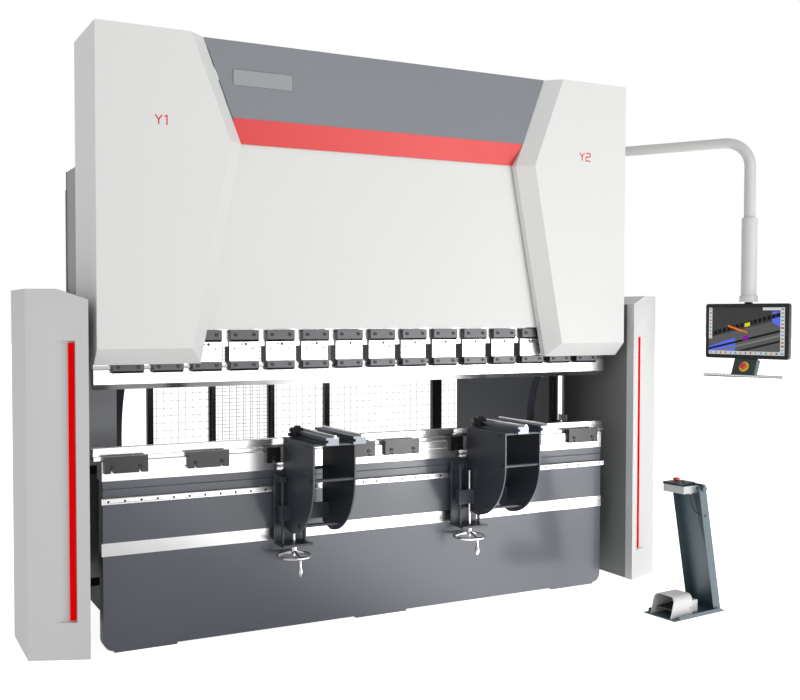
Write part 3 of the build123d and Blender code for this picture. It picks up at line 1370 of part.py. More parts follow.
def make_control_box():
    """Box body and lid on the pedestal's shelf, with the cable gland under it."""
    x0, y0 = box_place()
    width, depth, height = BOX_SIZE
    stop_x, stop_y = x0 + 42, y0 + depth / 2
    with BuildPart() as control_box:
        block((x0, x0 + width), (y0, y0 + depth), (BOX_Z, BOX_Z + height))
        lid_top = BOX_Z + height + LID_HEIGHT
        block((x0 - 2, x0 + width - 30), (y0 - 2, y0 + depth + 2), (BOX_Z + height, lid_top))
        rod((stop_x, stop_y, lid_top), (stop_x, stop_y, lid_top - 26), ESTOP_STEM_R + ROD_GAP, Mode.SUBTRACT)
        rod((x0 + 92, stop_y, lid_top), (x0 + 92, stop_y, lid_top + 8), 10)
        gland = (GLAND_X, y0 + GLAND_Y)
        rod((*gland, BOX_Z), (*gland, BOX_Z - 14), 8)
        rod((*gland, BOX_Z - 14), (*gland, BOX_Z - 8), CABLE_R, Mode.SUBTRACT)
    place_pedestal(control_box, "control_box")


def make_pedestal_stop():
    """The red mushroom button on the control box's lid."""
    x0, y0 = box_place()
    lid_top = BOX_Z + BOX_SIZE[2] + LID_HEIGHT
    place = PEDESTAL.from_local_coords(Vector(x0 + 42, y0 + BOX_SIZE[1] / 2, lid_top - 3))
    mushroom(Plane(origin=place, z_dir=(0, 0, 1)), "pedestal_stop_button")


def cable_route():
    """The short lead from the box's gland to the grommet in the channel's flange."""
    gland_y = box_place()[1] + GLAND_Y
    end_y = channel_y(GROMMET_Z) - GROMMET_SET
    return [
        (GLAND_X, gland_y, BOX_Z - 14),
        (GLAND_X, gland_y + 2, BOX_Z - 50),
        (GLAND_X + 4, gland_y + 10, BOX_Z - 87),
        (GLAND_X + 18, gland_y + 24, GROMMET_Z + 12),
        (CHANNEL_WIDTH / 2 - 38, end_y, GROMMET_Z),
        (CHANNEL_WIDTH / 2 - 10, end_y, GROMMET_Z),
    ]


def cord_radii(points):
    """Largest radius for each corner of a cord's route: 0.45 of the shorter run over tan(half turn)."""
    radii = []
    for before, corner, after in zip(points, points[1:], points[2:]):
        run_in = Vector(*corner) - Vector(*before)
        run_out = Vector(*after) - Vector(*corner)
        half_turn = radians(run_in.get_angle(run_out) / 2)
        radii.append(0.45 * min(run_in.length, run_out.length) / tan(half_turn))
    return radii


def make_pedestal_cable():
    points = cable_route()
    radii = cord_radii(points)
    print("pedestal cable radii", [round(radius, 1) for radius in radii])
    with BuildPart() as pedestal_cable:
        with BuildLine() as route:
            FilletPolyline(*points, radius=radii)
        with BuildSketch(Plane(origin=route.line @ 0, z_dir=route.line % 0)):
            Circle(CABLE_R)
        sweep()
    print("pedestal cable length", round(sum(edge.length for edge in route.edges()), 1))
    place_pedestal(pedestal_cable, "pedestal_cable")


def make_pedal_guard():
    """Arched shell over the pedal, open to the front, with the switch housing behind it."""
    half = PEDAL_GUARD_WIDTH / 2
    wall = PEDAL_GUARD_WALL
    back = PEDAL_GUARD_FRONT + PEDAL_GUARD_LENGTH
    pin_y, pin_z = PEDAL_PIN
    with BuildPart() as pedal_guard:
        with BuildSketch(front_plane(PEDAL_GUARD_FRONT)) as arch:
            with Locations((0, BASE_THICK + PEDAL_GUARD_HEIGHT / 2)):
                Rectangle(2 * half, PEDAL_GUARD_HEIGHT)
            fillet(arch.vertices().group_by(Axis.Y)[-1], 34)
        extrude(amount=-PEDAL_GUARD_LENGTH)
        with BuildSketch(front_plane(PEDAL_GUARD_FRONT)) as hollow:
            with Locations((0, BASE_THICK + (PEDAL_GUARD_HEIGHT - wall) / 2)):
                Rectangle(2 * (half - wall), PEDAL_GUARD_HEIGHT - wall)
            fillet(hollow.vertices().group_by(Axis.Y)[-1], 34 - wall)
        extrude(amount=-(PEDAL_GUARD_LENGTH - wall), mode=Mode.SUBTRACT)
        slant = [
            (PEDAL_GUARD_FRONT, BASE_THICK),
            (PEDAL_GUARD_FRONT, BASE_THICK + PEDAL_GUARD_HEIGHT),
            (PEDAL_GUARD_FRONT + 34, BASE_THICK + PEDAL_GUARD_HEIGHT),
        ]
        prism(side_plane(-half), slant, 2 * half, Mode.SUBTRACT)
        rod((-half, pin_y, pin_z), (half, pin_y, pin_z), PEDAL_PIN_R + ROD_GAP, Mode.SUBTRACT)
        block((-44, 44), (back, back + 82), (BASE_THICK, 72))
    place_pedestal(pedal_guard, "pedal_guard")


def make_pedal():
    """The tread plate on its cross pin."""
    half = PEDAL_WIDTH / 2
    pin_y, pin_z = PEDAL_PIN
    reach = PEDAL_GUARD_WIDTH / 2 - 1
    tread = [
        (pin_y, pin_z + 8),
        (pin_y - PEDAL_LENGTH, pin_z + 4),
        (pin_y - PEDAL_LENGTH, pin_z - 4),
        (pin_y, pin_z - 4),
    ]
    with BuildPart() as pedal:
        rod((-reach, pin_y, pin_z), (reach, pin_y, pin_z), PEDAL_PIN_R)
        prism(side_plane(-half), tread, PEDAL_WIDTH)
    place_pedestal(pedal, "pedal")


# ---------------------------------------------------------------- build everything
make_table_plate()
make_crowning_block()
make_die()
make_die_clamps()
make_table_screws()
make_support_rail()
make_steel_band()
make_side_frame(-1, "left_side_frame")
make_side_frame(1, "right_side_frame")
make_frame_ties()
make_ram_guides()
make_front_cover(-1, "left_front_cover")
make_front_cover(1, "right_front_cover")
make_upper_fascia()
make_red_band()
make_hydraulic_cylinders()
make_piston_rods()
make_hydraulic_unit()
make_ram_plate()
make_ram_front_panel()
make_tool_holders()
make_tool_clamp_bars()
make_tool_clamp_screws()
make_punch_bar()
make_guard(-1, "left_guard")
make_guard(1, "right_guard")
make_fence_frame()
make_side_panels()
make_fence_mesh()
make_rear_gate()
make_electric_cabinet()
make_cabinet_door()
make_backgauge_rails()
make_backgauge_beam()
make_finger(-1, "left_finger")
make_finger(1, "right_finger")
make_supports()
make_pendant_bracket()
make_pendant_arm()
make_hmi_housing()
make_hmi_glass()
make_hmi_console()
mushroom(console_plane(), "hmi_stop_button")
make_pedestal_stand()
make_control_box()
make_pedestal_stop()
make_pedestal_cable()
make_pedal_guard()
make_pedal()
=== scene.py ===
# %% [markdown]
# # A press brake, finished piece by piece
#
# The machine's pieces arrive with their true sizes and places. This lesson gives them their finishes:
# sprayed paint, ground steel, chrome, rubber and glass. It also adds the small pieces that a plain
# model leaves out, such as round fence wires, screws, slots and the picture on the control panel.
# Lengths are metres. +X runs along the bend line, -Y points at the operator and +Z is up.

# %% Load the machine
import json
import math

import bmesh
import bpy
import numpy as np
from mathutils import Matrix, Vector


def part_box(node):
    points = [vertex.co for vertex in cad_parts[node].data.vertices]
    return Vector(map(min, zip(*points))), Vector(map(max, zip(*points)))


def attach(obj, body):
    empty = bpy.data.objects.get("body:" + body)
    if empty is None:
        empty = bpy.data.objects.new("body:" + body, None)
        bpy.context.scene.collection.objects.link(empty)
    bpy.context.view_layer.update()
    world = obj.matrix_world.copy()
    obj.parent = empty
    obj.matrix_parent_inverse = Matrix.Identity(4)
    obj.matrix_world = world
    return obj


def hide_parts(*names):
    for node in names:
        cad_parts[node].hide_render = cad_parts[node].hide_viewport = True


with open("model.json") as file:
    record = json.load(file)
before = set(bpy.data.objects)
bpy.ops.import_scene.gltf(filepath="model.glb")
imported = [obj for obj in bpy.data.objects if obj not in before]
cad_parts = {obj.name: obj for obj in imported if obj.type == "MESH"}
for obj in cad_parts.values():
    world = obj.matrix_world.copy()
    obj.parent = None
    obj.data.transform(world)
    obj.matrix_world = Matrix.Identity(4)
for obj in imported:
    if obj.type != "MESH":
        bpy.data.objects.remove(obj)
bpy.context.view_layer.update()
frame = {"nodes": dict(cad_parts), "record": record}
nodes = frame["nodes"]
print("pieces that came with the machine:", len(nodes))

# %% [markdown]
# ## Noise that a hand would call grain
#
# Sprayed paint has a faint orange peel and its tone drifts a little over a metre. Ground steel has
# streaks along the direction in which it was ground. Both effects serve many materials, so each is
# a node group: built once, then placed with its own numbers.

# %% A small helper for wiring nodes


def wire(tree, kind, inputs=None, **settings):
    """Adds one node, sets its properties, and sets or links its inputs by name or by number."""
    node = tree.nodes.new(kind)
    for key, value in settings.items():
        setattr(node, key, value)
    for key, value in (inputs or {}).items():
        socket = node.inputs[key]
        if isinstance(value, bpy.types.NodeSocket):
            tree.links.new(value, socket)
        else:
            socket.default_value = value
    return node


def maths(tree, operation, first, second):
    """The result of one arithmetic node."""
    return wire(tree, "ShaderNodeMath", {0: first, 1: second}, operation=operation).outputs[0]


def carried(tree, value, low, high, start=0.0, stop=1.0, **settings):
    """A value that runs from start to stop, carried onto the range from low to high."""
    inputs = {"Value": value, 1: start, 2: stop, 3: low, 4: high}
    return wire(tree, "ShaderNodeMapRange", inputs, **settings).outputs[0]


def mixed(tree, share, first, second):
    """The colour that lies between two colours, at a share."""
    return wire(tree, "ShaderNodeMix", {0: share, 6: first, 7: second}, data_type="RGBA").outputs[2]


def varied_tone(tree, colour, noise, middle, amount):
    """colour x (1 + amount x (noise - middle))."""
    centred = maths(tree, "SUBTRACT", noise, middle)
    gain = maths(tree, "ADD", maths(tree, "MULTIPLY", centred, amount), 1.0)
    return wire(tree, "ShaderNodeVectorMath", {0: colour, 1: gain}, operation="MULTIPLY").outputs[0]


def new_group(name, inputs, outputs):
    """An empty shader group with named sockets: (name, kind, default) in, (name, kind) out."""
    group = bpy.data.node_groups.new(name, "ShaderNodeTree")
    for label, kind, default in inputs:
        socket = group.interface.new_socket(label, in_out="INPUT", socket_type=kind)
        socket.default_value = default
    for label, kind in outputs:
        group.interface.new_socket(label, in_out="OUTPUT", socket_type=kind)
    return group, group.nodes.new("NodeGroupInput"), group.nodes.new("NodeGroupOutput")


FLOAT, COLOUR = "NodeSocketFloat", "NodeSocketColor"

# %% Sprayed paint: tone drift, roughness drift and orange peel


def build_sprayed_paint():
    """Tone = colour x (1 + drift x slow noise); height = fine noise at the peel's scale."""
    group, given, out = new_group(
        "sprayed_paint",
        [
            ("Colour", COLOUR, (0.8, 0.8, 0.8, 1)),
            ("Drift", FLOAT, 0.05),
            ("Peel", FLOAT, 260.0),
            ("Roughness", FLOAT, 0.45),
        ],
        [("Colour", COLOUR), ("Roughness", FLOAT), ("Height", FLOAT)],
    )
    place = wire(group, "ShaderNodeTexCoord").outputs["Object"]
    slow = wire(group, "ShaderNodeTexNoise", {"Vector": place, "Scale": 0.9, "Detail": 3.0}).outputs["Fac"]
    speck = wire(group, "ShaderNodeTexNoise", {"Vector": place, "Scale": 420.0, "Detail": 1.0}).outputs["Fac"]
    peel = wire(group, "ShaderNodeTexNoise", {"Vector": place, "Scale": given.outputs["Peel"], "Detail": 2.0})
    both = maths(group, "ADD", slow, speck)
    tone = varied_tone(group, given.outputs["Colour"], both, 1.0, given.outputs["Drift"])
    rough = maths(group, "ADD", carried(group, slow, -0.04, 0.05), given.outputs["Roughness"])
    group.links.new(tone, out.inputs["Colour"])
    group.links.new(rough, out.inputs["Roughness"])
    group.links.new(peel.outputs["Fac"], out.inputs["Height"])
    return group


SPRAYED_PAINT = build_sprayed_paint()
print("group:", SPRAYED_PAINT.name)

# %% Ground steel: streaks along one direction


def build_ground_steel():
    """Streaks = noise on coordinates squeezed across the grain, so it stretches along it."""
    group, given, out = new_group(
        "ground_steel",
        [
            ("Colour", COLOUR, (0.7, 0.7, 0.7, 1)),
            ("Streak", FLOAT, 0.12),
            ("Roughness", FLOAT, 0.28),
            ("Across", FLOAT, 420.0),
        ],
        [("Colour", COLOUR), ("Roughness", FLOAT), ("Height", FLOAT)],
    )
    place = wire(group, "ShaderNodeTexCoord").outputs["Object"]
    x, y, z = wire(group, "ShaderNodeSeparateXYZ", {0: place}).outputs
    along = maths(group, "MULTIPLY", x, 2.5)
    depth = maths(group, "MULTIPLY", y, given.outputs["Across"])
    level = maths(group, "MULTIPLY", z, given.outputs["Across"])
    squeezed = wire(group, "ShaderNodeCombineXYZ", {0: along, 1: depth, 2: level}).outputs[0]
    fine = {"Vector": squeezed, "Scale": 1.0, "Detail": 4.0}
    broad = {"Vector": place, "Scale": 4.0, "Detail": 4.0}
    streaks = wire(group, "ShaderNodeTexNoise", fine).outputs["Fac"]
    stains = wire(group, "ShaderNodeTexNoise", broad).outputs["Fac"]
    tone = varied_tone(group, given.outputs["Colour"], streaks, 0.5, given.outputs["Streak"])
    rough = maths(group, "ADD", carried(group, stains, -0.06, 0.08), given.outputs["Roughness"])
    group.links.new(tone, out.inputs["Colour"])
    group.links.new(rough, out.inputs["Roughness"])
    group.links.new(streaks, out.inputs["Height"])
    return group


GROUND_STEEL = build_ground_steel()
print("group:", GROUND_STEEL.name)

# %% [markdown]
# ## Edges that catch the light
#
# A folded or flame-cut edge never meets at a perfect corner, and it shines a little. Here that shine is
# a painted highlight: a lighter colour along the edges. A mask for it comes from comparing the surface's
# own normal with a normal that is averaged over two millimetres. On flat ground they agree; at an edge
# they part.

# %% Painted highlights along edges


def build_edge_highlight_mask():
    """Mask = smooth step of 1 - dot(rounded normal, true normal)."""
    group, given, out = new_group("edge_highlight_mask", [("Width", FLOAT, 0.002)], [("Mask", FLOAT)])
    rounded = wire(group, "ShaderNodeBevel", {"Radius": given.outputs["Width"]}, samples=4)
    true = wire(group, "ShaderNodeNewGeometry")
    normals = {0: rounded.outputs[0], 1: true.outputs["Normal"]}
    match = wire(group, "ShaderNodeVectorMath", normals, operation="DOT_PRODUCT").outputs["Value"]
    group.links.new(carried(group, match, 0.0, 1.0, start=0.985, stop=0.86), out.inputs["Mask"])
    return group


EDGE_HIGHLIGHT_MASK = build_edge_highlight_mask()
print("group:", EDGE_HIGHLIGHT_MASK.name)

# %% [markdown]
# ## The machine's finishes
#
# One function makes a painted finish and one makes a metal one. Values that are the same all over a
# surface are set on the shader's own sockets. What varies comes from the groups above.

# %% Painted finishes


def finish_of(name):
    """A material with its shader ready, returned with its node tree."""
    material = bpy.data.materials.new(name)
    material.use_nodes = True
    tree = material.node_tree
    shader = tree.nodes["Principled BSDF"]
    return material, tree, shader


GRAIN_DEPTH = 0.001


def grained(tree, shader, coating, strength):
    """Joins a group's roughness and height to a shader, the height as a fine bump."""
    inputs = {"Height": coating.outputs["Height"], "Strength": strength, "Distance": GRAIN_DEPTH}
    bumped = wire(tree, "ShaderNodeBump", inputs)
    tree.links.new(coating.outputs["Roughness"], shader.inputs["Roughness"])
    tree.links.new(bumped.outputs[0], shader.inputs["Normal"])


def painted(name, colour, roughness=0.42, drift=0.04, peel=260.0, bump=0.02, coat=0.0, edge_highlight=None):
    """Sprayed paint, with an optional lighter colour along its edges: a painted highlight."""
    material, tree, shader = finish_of(name)
    inputs = {"Colour": (*colour, 1), "Drift": drift, "Peel": peel, "Roughness": roughness}
    paint = wire(tree, "ShaderNodeGroup", inputs, node_tree=SPRAYED_PAINT)
    tone = paint.outputs["Colour"]
    if edge_highlight:
        highlight_mask = wire(tree, "ShaderNodeGroup", node_tree=EDGE_HIGHLIGHT_MASK)
        tone = mixed(tree, highlight_mask.outputs["Mask"], tone, (*edge_highlight, 1))
    tree.links.new(tone, shader.inputs["Base Color"])
    grained(tree, shader, paint, bump)
    shader.inputs["Coat Weight"].default_value = coat
    shader.inputs["Coat Roughness"].default_value = 0.15
    return material


COVER_WHITE = painted("cover_white", (0.755, 0.765, 0.75), roughness=0.48)
GUARD_GREY = painted("guard_grey", (0.625, 0.635, 0.625), roughness=0.48)
SIDE_GREY = painted("side_grey", (0.72, 0.725, 0.715), roughness=0.55)
CABINET_GREY = painted("cabinet_grey", (0.30, 0.305, 0.315), roughness=0.5)
FASCIA_GREY = painted("fascia_grey", (0.215, 0.225, 0.245), roughness=0.42)
BAND_RED = painted("band_red", (0.64, 0.030, 0.030), roughness=0.45)
SLATE = painted("table_slate", (0.070, 0.077, 0.095), roughness=0.44, drift=0.06, coat=0.5)
# Where a finish below is given an edge colour, its edges take that lighter colour as a painted highlight.
FRAME_SLATE = painted("frame_slate", (0.030, 0.034, 0.045), roughness=0.45, edge_highlight=(0.12, 0.13, 0.15))
SUPPORT_DARK = painted("support_dark", (0.033, 0.038, 0.050), roughness=0.40, edge_highlight=(0.30, 0.31, 0.34))
# A darker grey for the guards' inner sheets: painted shade. The seals take this grey too.
LINER_SHADE_AND_SEAL = painted("liner_shade_and_seal", (0.17, 0.175, 0.172), roughness=0.6)
# Black for the fence; the slots in the brackets also use it as painted shade.
FENCE_BLACK_AND_SLOT_SHADE = painted("fence_black_and_slot_shade", (0.006, 0.006, 0.007), roughness=0.45)
# Black for clamps and screws. On the upper clamp bars it is also painted shade on every face that does not
# face forward.
CLAMP_BLACK_AND_SHADE = painted(
    "clamp_black_and_shade", (0.004, 0.004, 0.005), roughness=0.26, drift=0.2, edge_highlight=(0.07, 0.07, 0.07)
)
MARK_RED = painted("mark_red", (0.72, 0.02, 0.02), roughness=0.4)
# A white tube given a grey of 0.6: painted shade.
TUBE_WHITE_SHADED = painted("tube_white_shaded", (0.60, 0.61, 0.595), roughness=0.35, coat=0.3)
STAND_TEAL = painted("stand_teal", (0.050, 0.083, 0.098), roughness=0.45, drift=0.12, edge_highlight=(0.09, 0.14, 0.16))
BOX_GREY = painted("box_grey", (0.56, 0.57, 0.57), roughness=0.5)
PEDAL_WHITE = painted("pedal_white", (0.62, 0.62, 0.62), roughness=0.35, coat=0.2)
UNIT_GREY = painted("unit_grey", (0.16, 0.17, 0.19), roughness=0.5, edge_highlight=(0.25, 0.26, 0.28))

# %% Plastics and rubber


def moulded(name, colour, roughness=0.5, grain=900.0, bump=0.05, coat=0.0):
    """Moulded plastic or rubber: the paint group with a finer, deeper grain."""
    return painted(name, colour, roughness=roughness, drift=0.08, peel=grain, bump=bump, coat=coat)


SHELL_BLACK = moulded("shell_black", (0.004, 0.006, 0.007), roughness=0.45)
CONSOLE_TEAL = moulded("console_teal", (0.018, 0.032, 0.038), roughness=0.4)
BUTTON_RED = moulded("button_red", (0.62, 0.02, 0.015), roughness=0.28, coat=0.5)
RING_YELLOW = moulded("ring_yellow", (0.82, 0.62, 0.02), roughness=0.4)
JACKET_BLACK = moulded("jacket_black", (0.012, 0.012, 0.013), roughness=0.55)
RUBBER_BLACK = moulded("rubber_black", (0.016, 0.016, 0.017), roughness=0.8)
TREAD_DARK = moulded("tread_dark", (0.010, 0.010, 0.011), roughness=0.7, grain=500.0, bump=0.15)

# %% Metals


def ground(name, colour, roughness=0.28, streak=0.12, bump=0.02):
    """Bare metal, ground along the bend line."""
    material, tree, shader = finish_of(name)
    inputs = {"Colour": (*colour, 1), "Streak": streak, "Roughness": roughness}
    steel = wire(tree, "ShaderNodeGroup", inputs, node_tree=GROUND_STEEL)
    tree.links.new(steel.outputs["Colour"], shader.inputs["Base Color"])
    grained(tree, shader, steel, bump)
    shader.inputs["Metallic"].default_value = 1.0
    return material


BRIGHT_STEEL = ground("bright_steel", (0.60, 0.60, 0.605), roughness=0.24)
TOOL_STEEL = ground("tool_steel", (0.66, 0.66, 0.67), roughness=0.2)
HOLDER_STEEL = ground("holder_steel", (0.93, 0.93, 0.93), roughness=0.32)
CLAMP_STEEL = ground("clamp_steel", (0.085, 0.085, 0.09), roughness=0.36)
DARK_STEEL = ground("dark_steel", (0.05, 0.05, 0.052), roughness=0.4)
EXTRUSION = ground("extrusion_grey", (0.20, 0.21, 0.24), roughness=0.42)
ROD_STEEL = ground("rod_steel", (0.9, 0.9, 0.9), roughness=0.15)
CHROME = ground("chrome", (0.62, 0.62, 0.63), roughness=0.12, streak=0.02, bump=0.0)
PLATE_STEEL = ground("plate_steel", (0.42, 0.42, 0.43), roughness=0.35)
# The badge's edge colour is a painted highlight.
BADGE_SILVER = painted("badge_silver", (0.28, 0.285, 0.30), roughness=0.3, coat=0.2, edge_highlight=(0.6, 0.6, 0.62))
print("materials, with those that the pieces came with:", len(bpy.data.materials))

# %% [markdown]
# ## The ram's two finishes
#
# The ram is painted where sheet covers nothing, but its lowest part is left ground, because the
# tools seat there. One material changes at a height instead of two pieces meeting in a seam.

# %% Painted above, ground below


def build_ram_finish(edge_height, blend=0.001):
    """Metallic and colour switch where the height passes edge_height, over twice the blend."""
    material, tree, shader = finish_of("ram_finish")
    place = wire(tree, "ShaderNodeTexCoord").outputs["Object"]
    height = wire(tree, "ShaderNodeSeparateXYZ", {0: place}).outputs[2]
    above = carried(tree, height, 0.0, 1.0, start=edge_height - blend, stop=edge_height + blend)
    paint = wire(tree, "ShaderNodeGroup", {"Colour": (0.75, 0.755, 0.745, 1)}, node_tree=SPRAYED_PAINT)
    steel = wire(tree, "ShaderNodeGroup", {"Colour": (0.86, 0.86, 0.86, 1)}, node_tree=GROUND_STEEL)
    tone = mixed(tree, above, steel.outputs["Colour"], paint.outputs["Colour"])
    roughnesses = {0: above, 2: steel.outputs["Roughness"], 3: paint.outputs["Roughness"]}
    rough = wire(tree, "ShaderNodeMix", roughnesses).outputs[0]
    tree.links.new(tone, shader.inputs["Base Color"])
    tree.links.new(rough, shader.inputs["Roughness"])
    tree.links.new(maths(tree, "SUBTRACT", 1.0, above), shader.inputs["Metallic"])
    return material


RAM_FINISH = build_ram_finish(edge_height=1.62)

# %% [markdown]
# ## Light and pictures
#
# The red strips in the guards carry a painted red glow, and the control panel shows a picture. The
# picture is a fine sheet of small faces, and each face carries its own colour in an attribute named "ink".

# %% Glowing finishes: a painted glow, and a display


def build_painted_glow(name, colour, strength):
    """A plastic that also gives off its own colour: a painted glow."""
    material, tree, shader = finish_of(name)
    paint = wire(tree, "ShaderNodeGroup", {"Colour": (*colour, 1)}, node_tree=SPRAYED_PAINT)
    for socket in ("Base Color", "Emission Color"):
        tree.links.new(paint.outputs["Colour"], shader.inputs[socket])
    shader.inputs["Emission Strength"].default_value = strength
    shader.inputs["Roughness"].default_value = 0.3
    shader.inputs["Specular IOR Level"].default_value = 0.0
    return material


def build_picture_finish():
    """Reads the faces' own colours and shows them as a lit display."""
    material, tree, shader = finish_of("picture")
    ink = wire(tree, "ShaderNodeAttribute", attribute_name="ink")
    tree.links.new(ink.outputs["Color"], shader.inputs["Emission Color"])
    shader.inputs["Base Color"].default_value = (0.004, 0.004, 0.004, 1)
    shader.inputs["Emission Strength"].default_value = 1.0
    shader.inputs["Specular IOR Level"].default_value = 0.1
    shader.inputs["Roughness"].default_value = 0.35
    return material


RED_PAINTED_GLOW = build_painted_glow("red_painted_glow", (0.56, 0.0010, 0.0010), 0.42)
PICTURE = build_picture_finish()

# %% [markdown]
# ## Rounding the machine's own pieces
#
# The pieces came with perfectly sharp corners. Each visible one is copied, its loose triangles are
# joined into whole faces, and a fine bevel rounds every real corner, because a bright line along an
# edge is what tells the eye that a thing is metal. The copy then stands for the original.

# %% Joining triangles into whole faces


def merged_copy(node, name):
    """A copy of a node's mesh with doubles merged and flat regions joined into single faces."""
    work = bmesh.new()
    work.from_mesh(nodes[node].data)
    bmesh.ops.remove_doubles(work, verts=work.verts, dist=1e-5)
    bmesh.ops.dissolve_limit(work, angle_limit=math.radians(1.0), verts=work.verts, edges=work.edges)
    mesh = bpy.data.meshes.new(name)
    work.to_mesh(mesh)
    work.free()
    return mesh


def shade_smooth(mesh, angle):
    """Smooth shading everywhere but at edges sharper than the angle, in degrees."""
    mesh.polygons.foreach_set("use_smooth", np.ones(len(mesh.polygons), bool))
    mesh.set_sharp_from_angle(angle=math.radians(angle))


def linked(name, data):
    """A new object that holds the data, linked into the scene."""
    item = bpy.data.objects.new(name, data)
    bpy.context.scene.collection.objects.link(item)
    return item


def face_rows(mesh, kind):
    """One row of x, y, z for every face: its centre or its normal."""
    rows = np.empty(len(mesh.polygons) * 3)
    mesh.polygons.foreach_get(kind, rows)
    return rows.reshape(-1, 3)


def dress(node, finish, bevel=0.0015, others=()):
    """Stands a rounded copy in for a node. others: (material, test on centres and normals) pairs."""
    mesh = merged_copy(node, "look_" + node)
    mesh.materials.clear()
    mesh.materials.append(finish)
    index = np.zeros(len(mesh.polygons), np.int32)
    centres, normals = face_rows(mesh, "center"), face_rows(mesh, "normal")
    for slot, (material, test) in enumerate(others, 1):
        mesh.materials.append(material)
        index[test(centres, normals)] = slot
    mesh.polygons.foreach_set("material_index", index)
    shade_smooth(mesh, 30)
    piece = linked("look_" + node, mesh)
    if bevel:
        rounding = piece.modifiers.new("rounding", "BEVEL")
        rounding.width = bevel
        rounding.segments = 2
        rounding.limit_method = "ANGLE"
        rounding.angle_limit = math.radians(35)
        rounding.use_clamp_overlap = True
        rounding.harden_normals = True
    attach(piece, body_of[node])
    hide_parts(node)
    return piece


bodies = frame["record"]["behaviour"]["bodies"]
body_of = {node: body for body, group in bodies.items() for node in group}

# %% Sheet covers, fascia and band

for node in ("left_front_cover", "right_front_cover"):
    dress(node, COVER_WHITE, bevel=0.003)
NAME_PLATE_DEPTH = 0.0055
plate_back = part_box("upper_fascia")[0].y + NAME_PLATE_DEPTH
dress("upper_fascia", FASCIA_GREY, others=[(BADGE_SILVER, lambda c, n: c[:, 1] < plate_back)])
dress("red_band", BAND_RED, bevel=0.001)
dress("ram_front_panel", COVER_WHITE, bevel=0.002)
print("covers done")

# %% Guards, each a shell, a liner in painted shade and a red strip with a painted glow


LINER_X = (1.6539, 1.6561)
FRONT_INNER = np.array([1.650, -0.250])
FRONT_RUN = np.array([0.270, 0.113])
FRONT_WIDTH = np.hypot(*FRONT_RUN)
FRONT_ALONG = FRONT_RUN / FRONT_WIDTH
SLOT_SHARE, SLOT_FLOOR = (0.235, 0.335), (0.0155, 0.0199)


def liner_test(centres, normals):
    """Faces of the thin sheet that closes the guard's inner side; its darker grey is painted shade."""
    away = np.abs(centres[:, 0])
    return (away > LINER_X[0]) & (away < LINER_X[1])


def strip_test(centres, normals):
    """Faces of the strip at the slot's floor, found by depth behind the slanted front and by share."""
    spot = np.column_stack([np.abs(centres[:, 0]), centres[:, 1]]) - FRONT_INNER
    share = spot @ FRONT_ALONG / FRONT_WIDTH
    depth = -spot[:, 0] * FRONT_ALONG[1] + spot[:, 1] * FRONT_ALONG[0]
    in_width = (share > SLOT_SHARE[0]) & (share < SLOT_SHARE[1])
    return in_width & (depth > SLOT_FLOOR[0]) & (depth < SLOT_FLOOR[1])


for node in ("left_guard", "right_guard"):
    # The liners' darker grey is painted shade.
    dress(node, GUARD_GREY, bevel=0.003, others=[(LINER_SHADE_AND_SEAL, liner_test), (RED_PAINTED_GLOW, strip_test)])
dress("side_panels", SIDE_GREY, bevel=0.001)
print("guards done")

# %% The bench, its block, die, rail and band

dress("table_plate", SLATE, bevel=0.002)
dress("crowning_block", BRIGHT_STEEL, bevel=0.0015)
dress("die", TOOL_STEEL, bevel=0.001)
dress("die_clamps", CLAMP_BLACK_AND_SHADE, bevel=0.001)
dress("table_screws", DARK_STEEL, bevel=0.0005)
dress("support_rail", BRIGHT_STEEL, bevel=0.0008)
dress("steel_band", BRIGHT_STEEL, bevel=0.0005)
for node in ("left_side_frame", "right_side_frame", "frame_ties"):
    dress(node, FRAME_SLATE, bevel=0.002)
dress("ram_guides", FRAME_SLATE, bevel=0.001)

# %% Ram and upper tools

dress("ram_plate", RAM_FINISH, bevel=0.002)
dress("tool_holders", HOLDER_STEEL, bevel=0.001, others=[(CLAMP_BLACK_AND_SHADE, lambda c, n: np.abs(n[:, 0]) > 0.9)])
# Every face of the clamp bars except the forward ones is black: painted shade on the chamfer, the sides and
# the rest.
dress("tool_clamp_bars", CLAMP_STEEL, bevel=0.0008, others=[(CLAMP_BLACK_AND_SHADE, lambda c, n: n[:, 1] > -0.98)])
dress("tool_clamp_screws", CLAMP_BLACK_AND_SHADE, bevel=0.0005)
dress("punch_bar", TOOL_STEEL, bevel=0.001)
dress("piston_rods", CHROME, bevel=0.001)
dress("hydraulic_cylinders", UNIT_GREY, bevel=0.002)
dress("hydraulic_unit", UNIT_GREY, bevel=0.003)

# %% Rear enclosure, cabinet and back gauge

dress("fence_frame", FENCE_BLACK_AND_SLOT_SHADE, bevel=0.001)
dress("rear_gate", FENCE_BLACK_AND_SLOT_SHADE, bevel=0)
dress("electric_cabinet", CABINET_GREY, bevel=0.001)
dress("cabinet_door", CABINET_GREY, bevel=0.001)
dress("backgauge_rails", UNIT_GREY, bevel=0.002)
dress("backgauge_beam", PLATE_STEEL, bevel=0.001)
for node in ("left_finger", "right_finger"):
    dress(node, CLAMP_BLACK_AND_SHADE, bevel=0.001)

# %% Sheet supports

SIDE_PLATE_X = {"left": -0.613, "right": 0.528}
ARM_INSETS = (0.043, 0.193)
ROD_INSET, ROD_LEVEL, ROD_REACH = 0.0504, 1.087, 0.00815


def rod_test(side):
    """Faces within ROD_REACH of either slide rod's axis, and not on the bars themselves."""

    def test(centres, normals):
        near = np.zeros(len(centres), bool)
        for inset in ARM_INSETS:
            rod_x = SIDE_PLATE_X[side] + inset + ROD_INSET
            near |= np.hypot(centres[:, 0] - rod_x, centres[:, 2] - ROD_LEVEL) < ROD_REACH
        return near

    return test


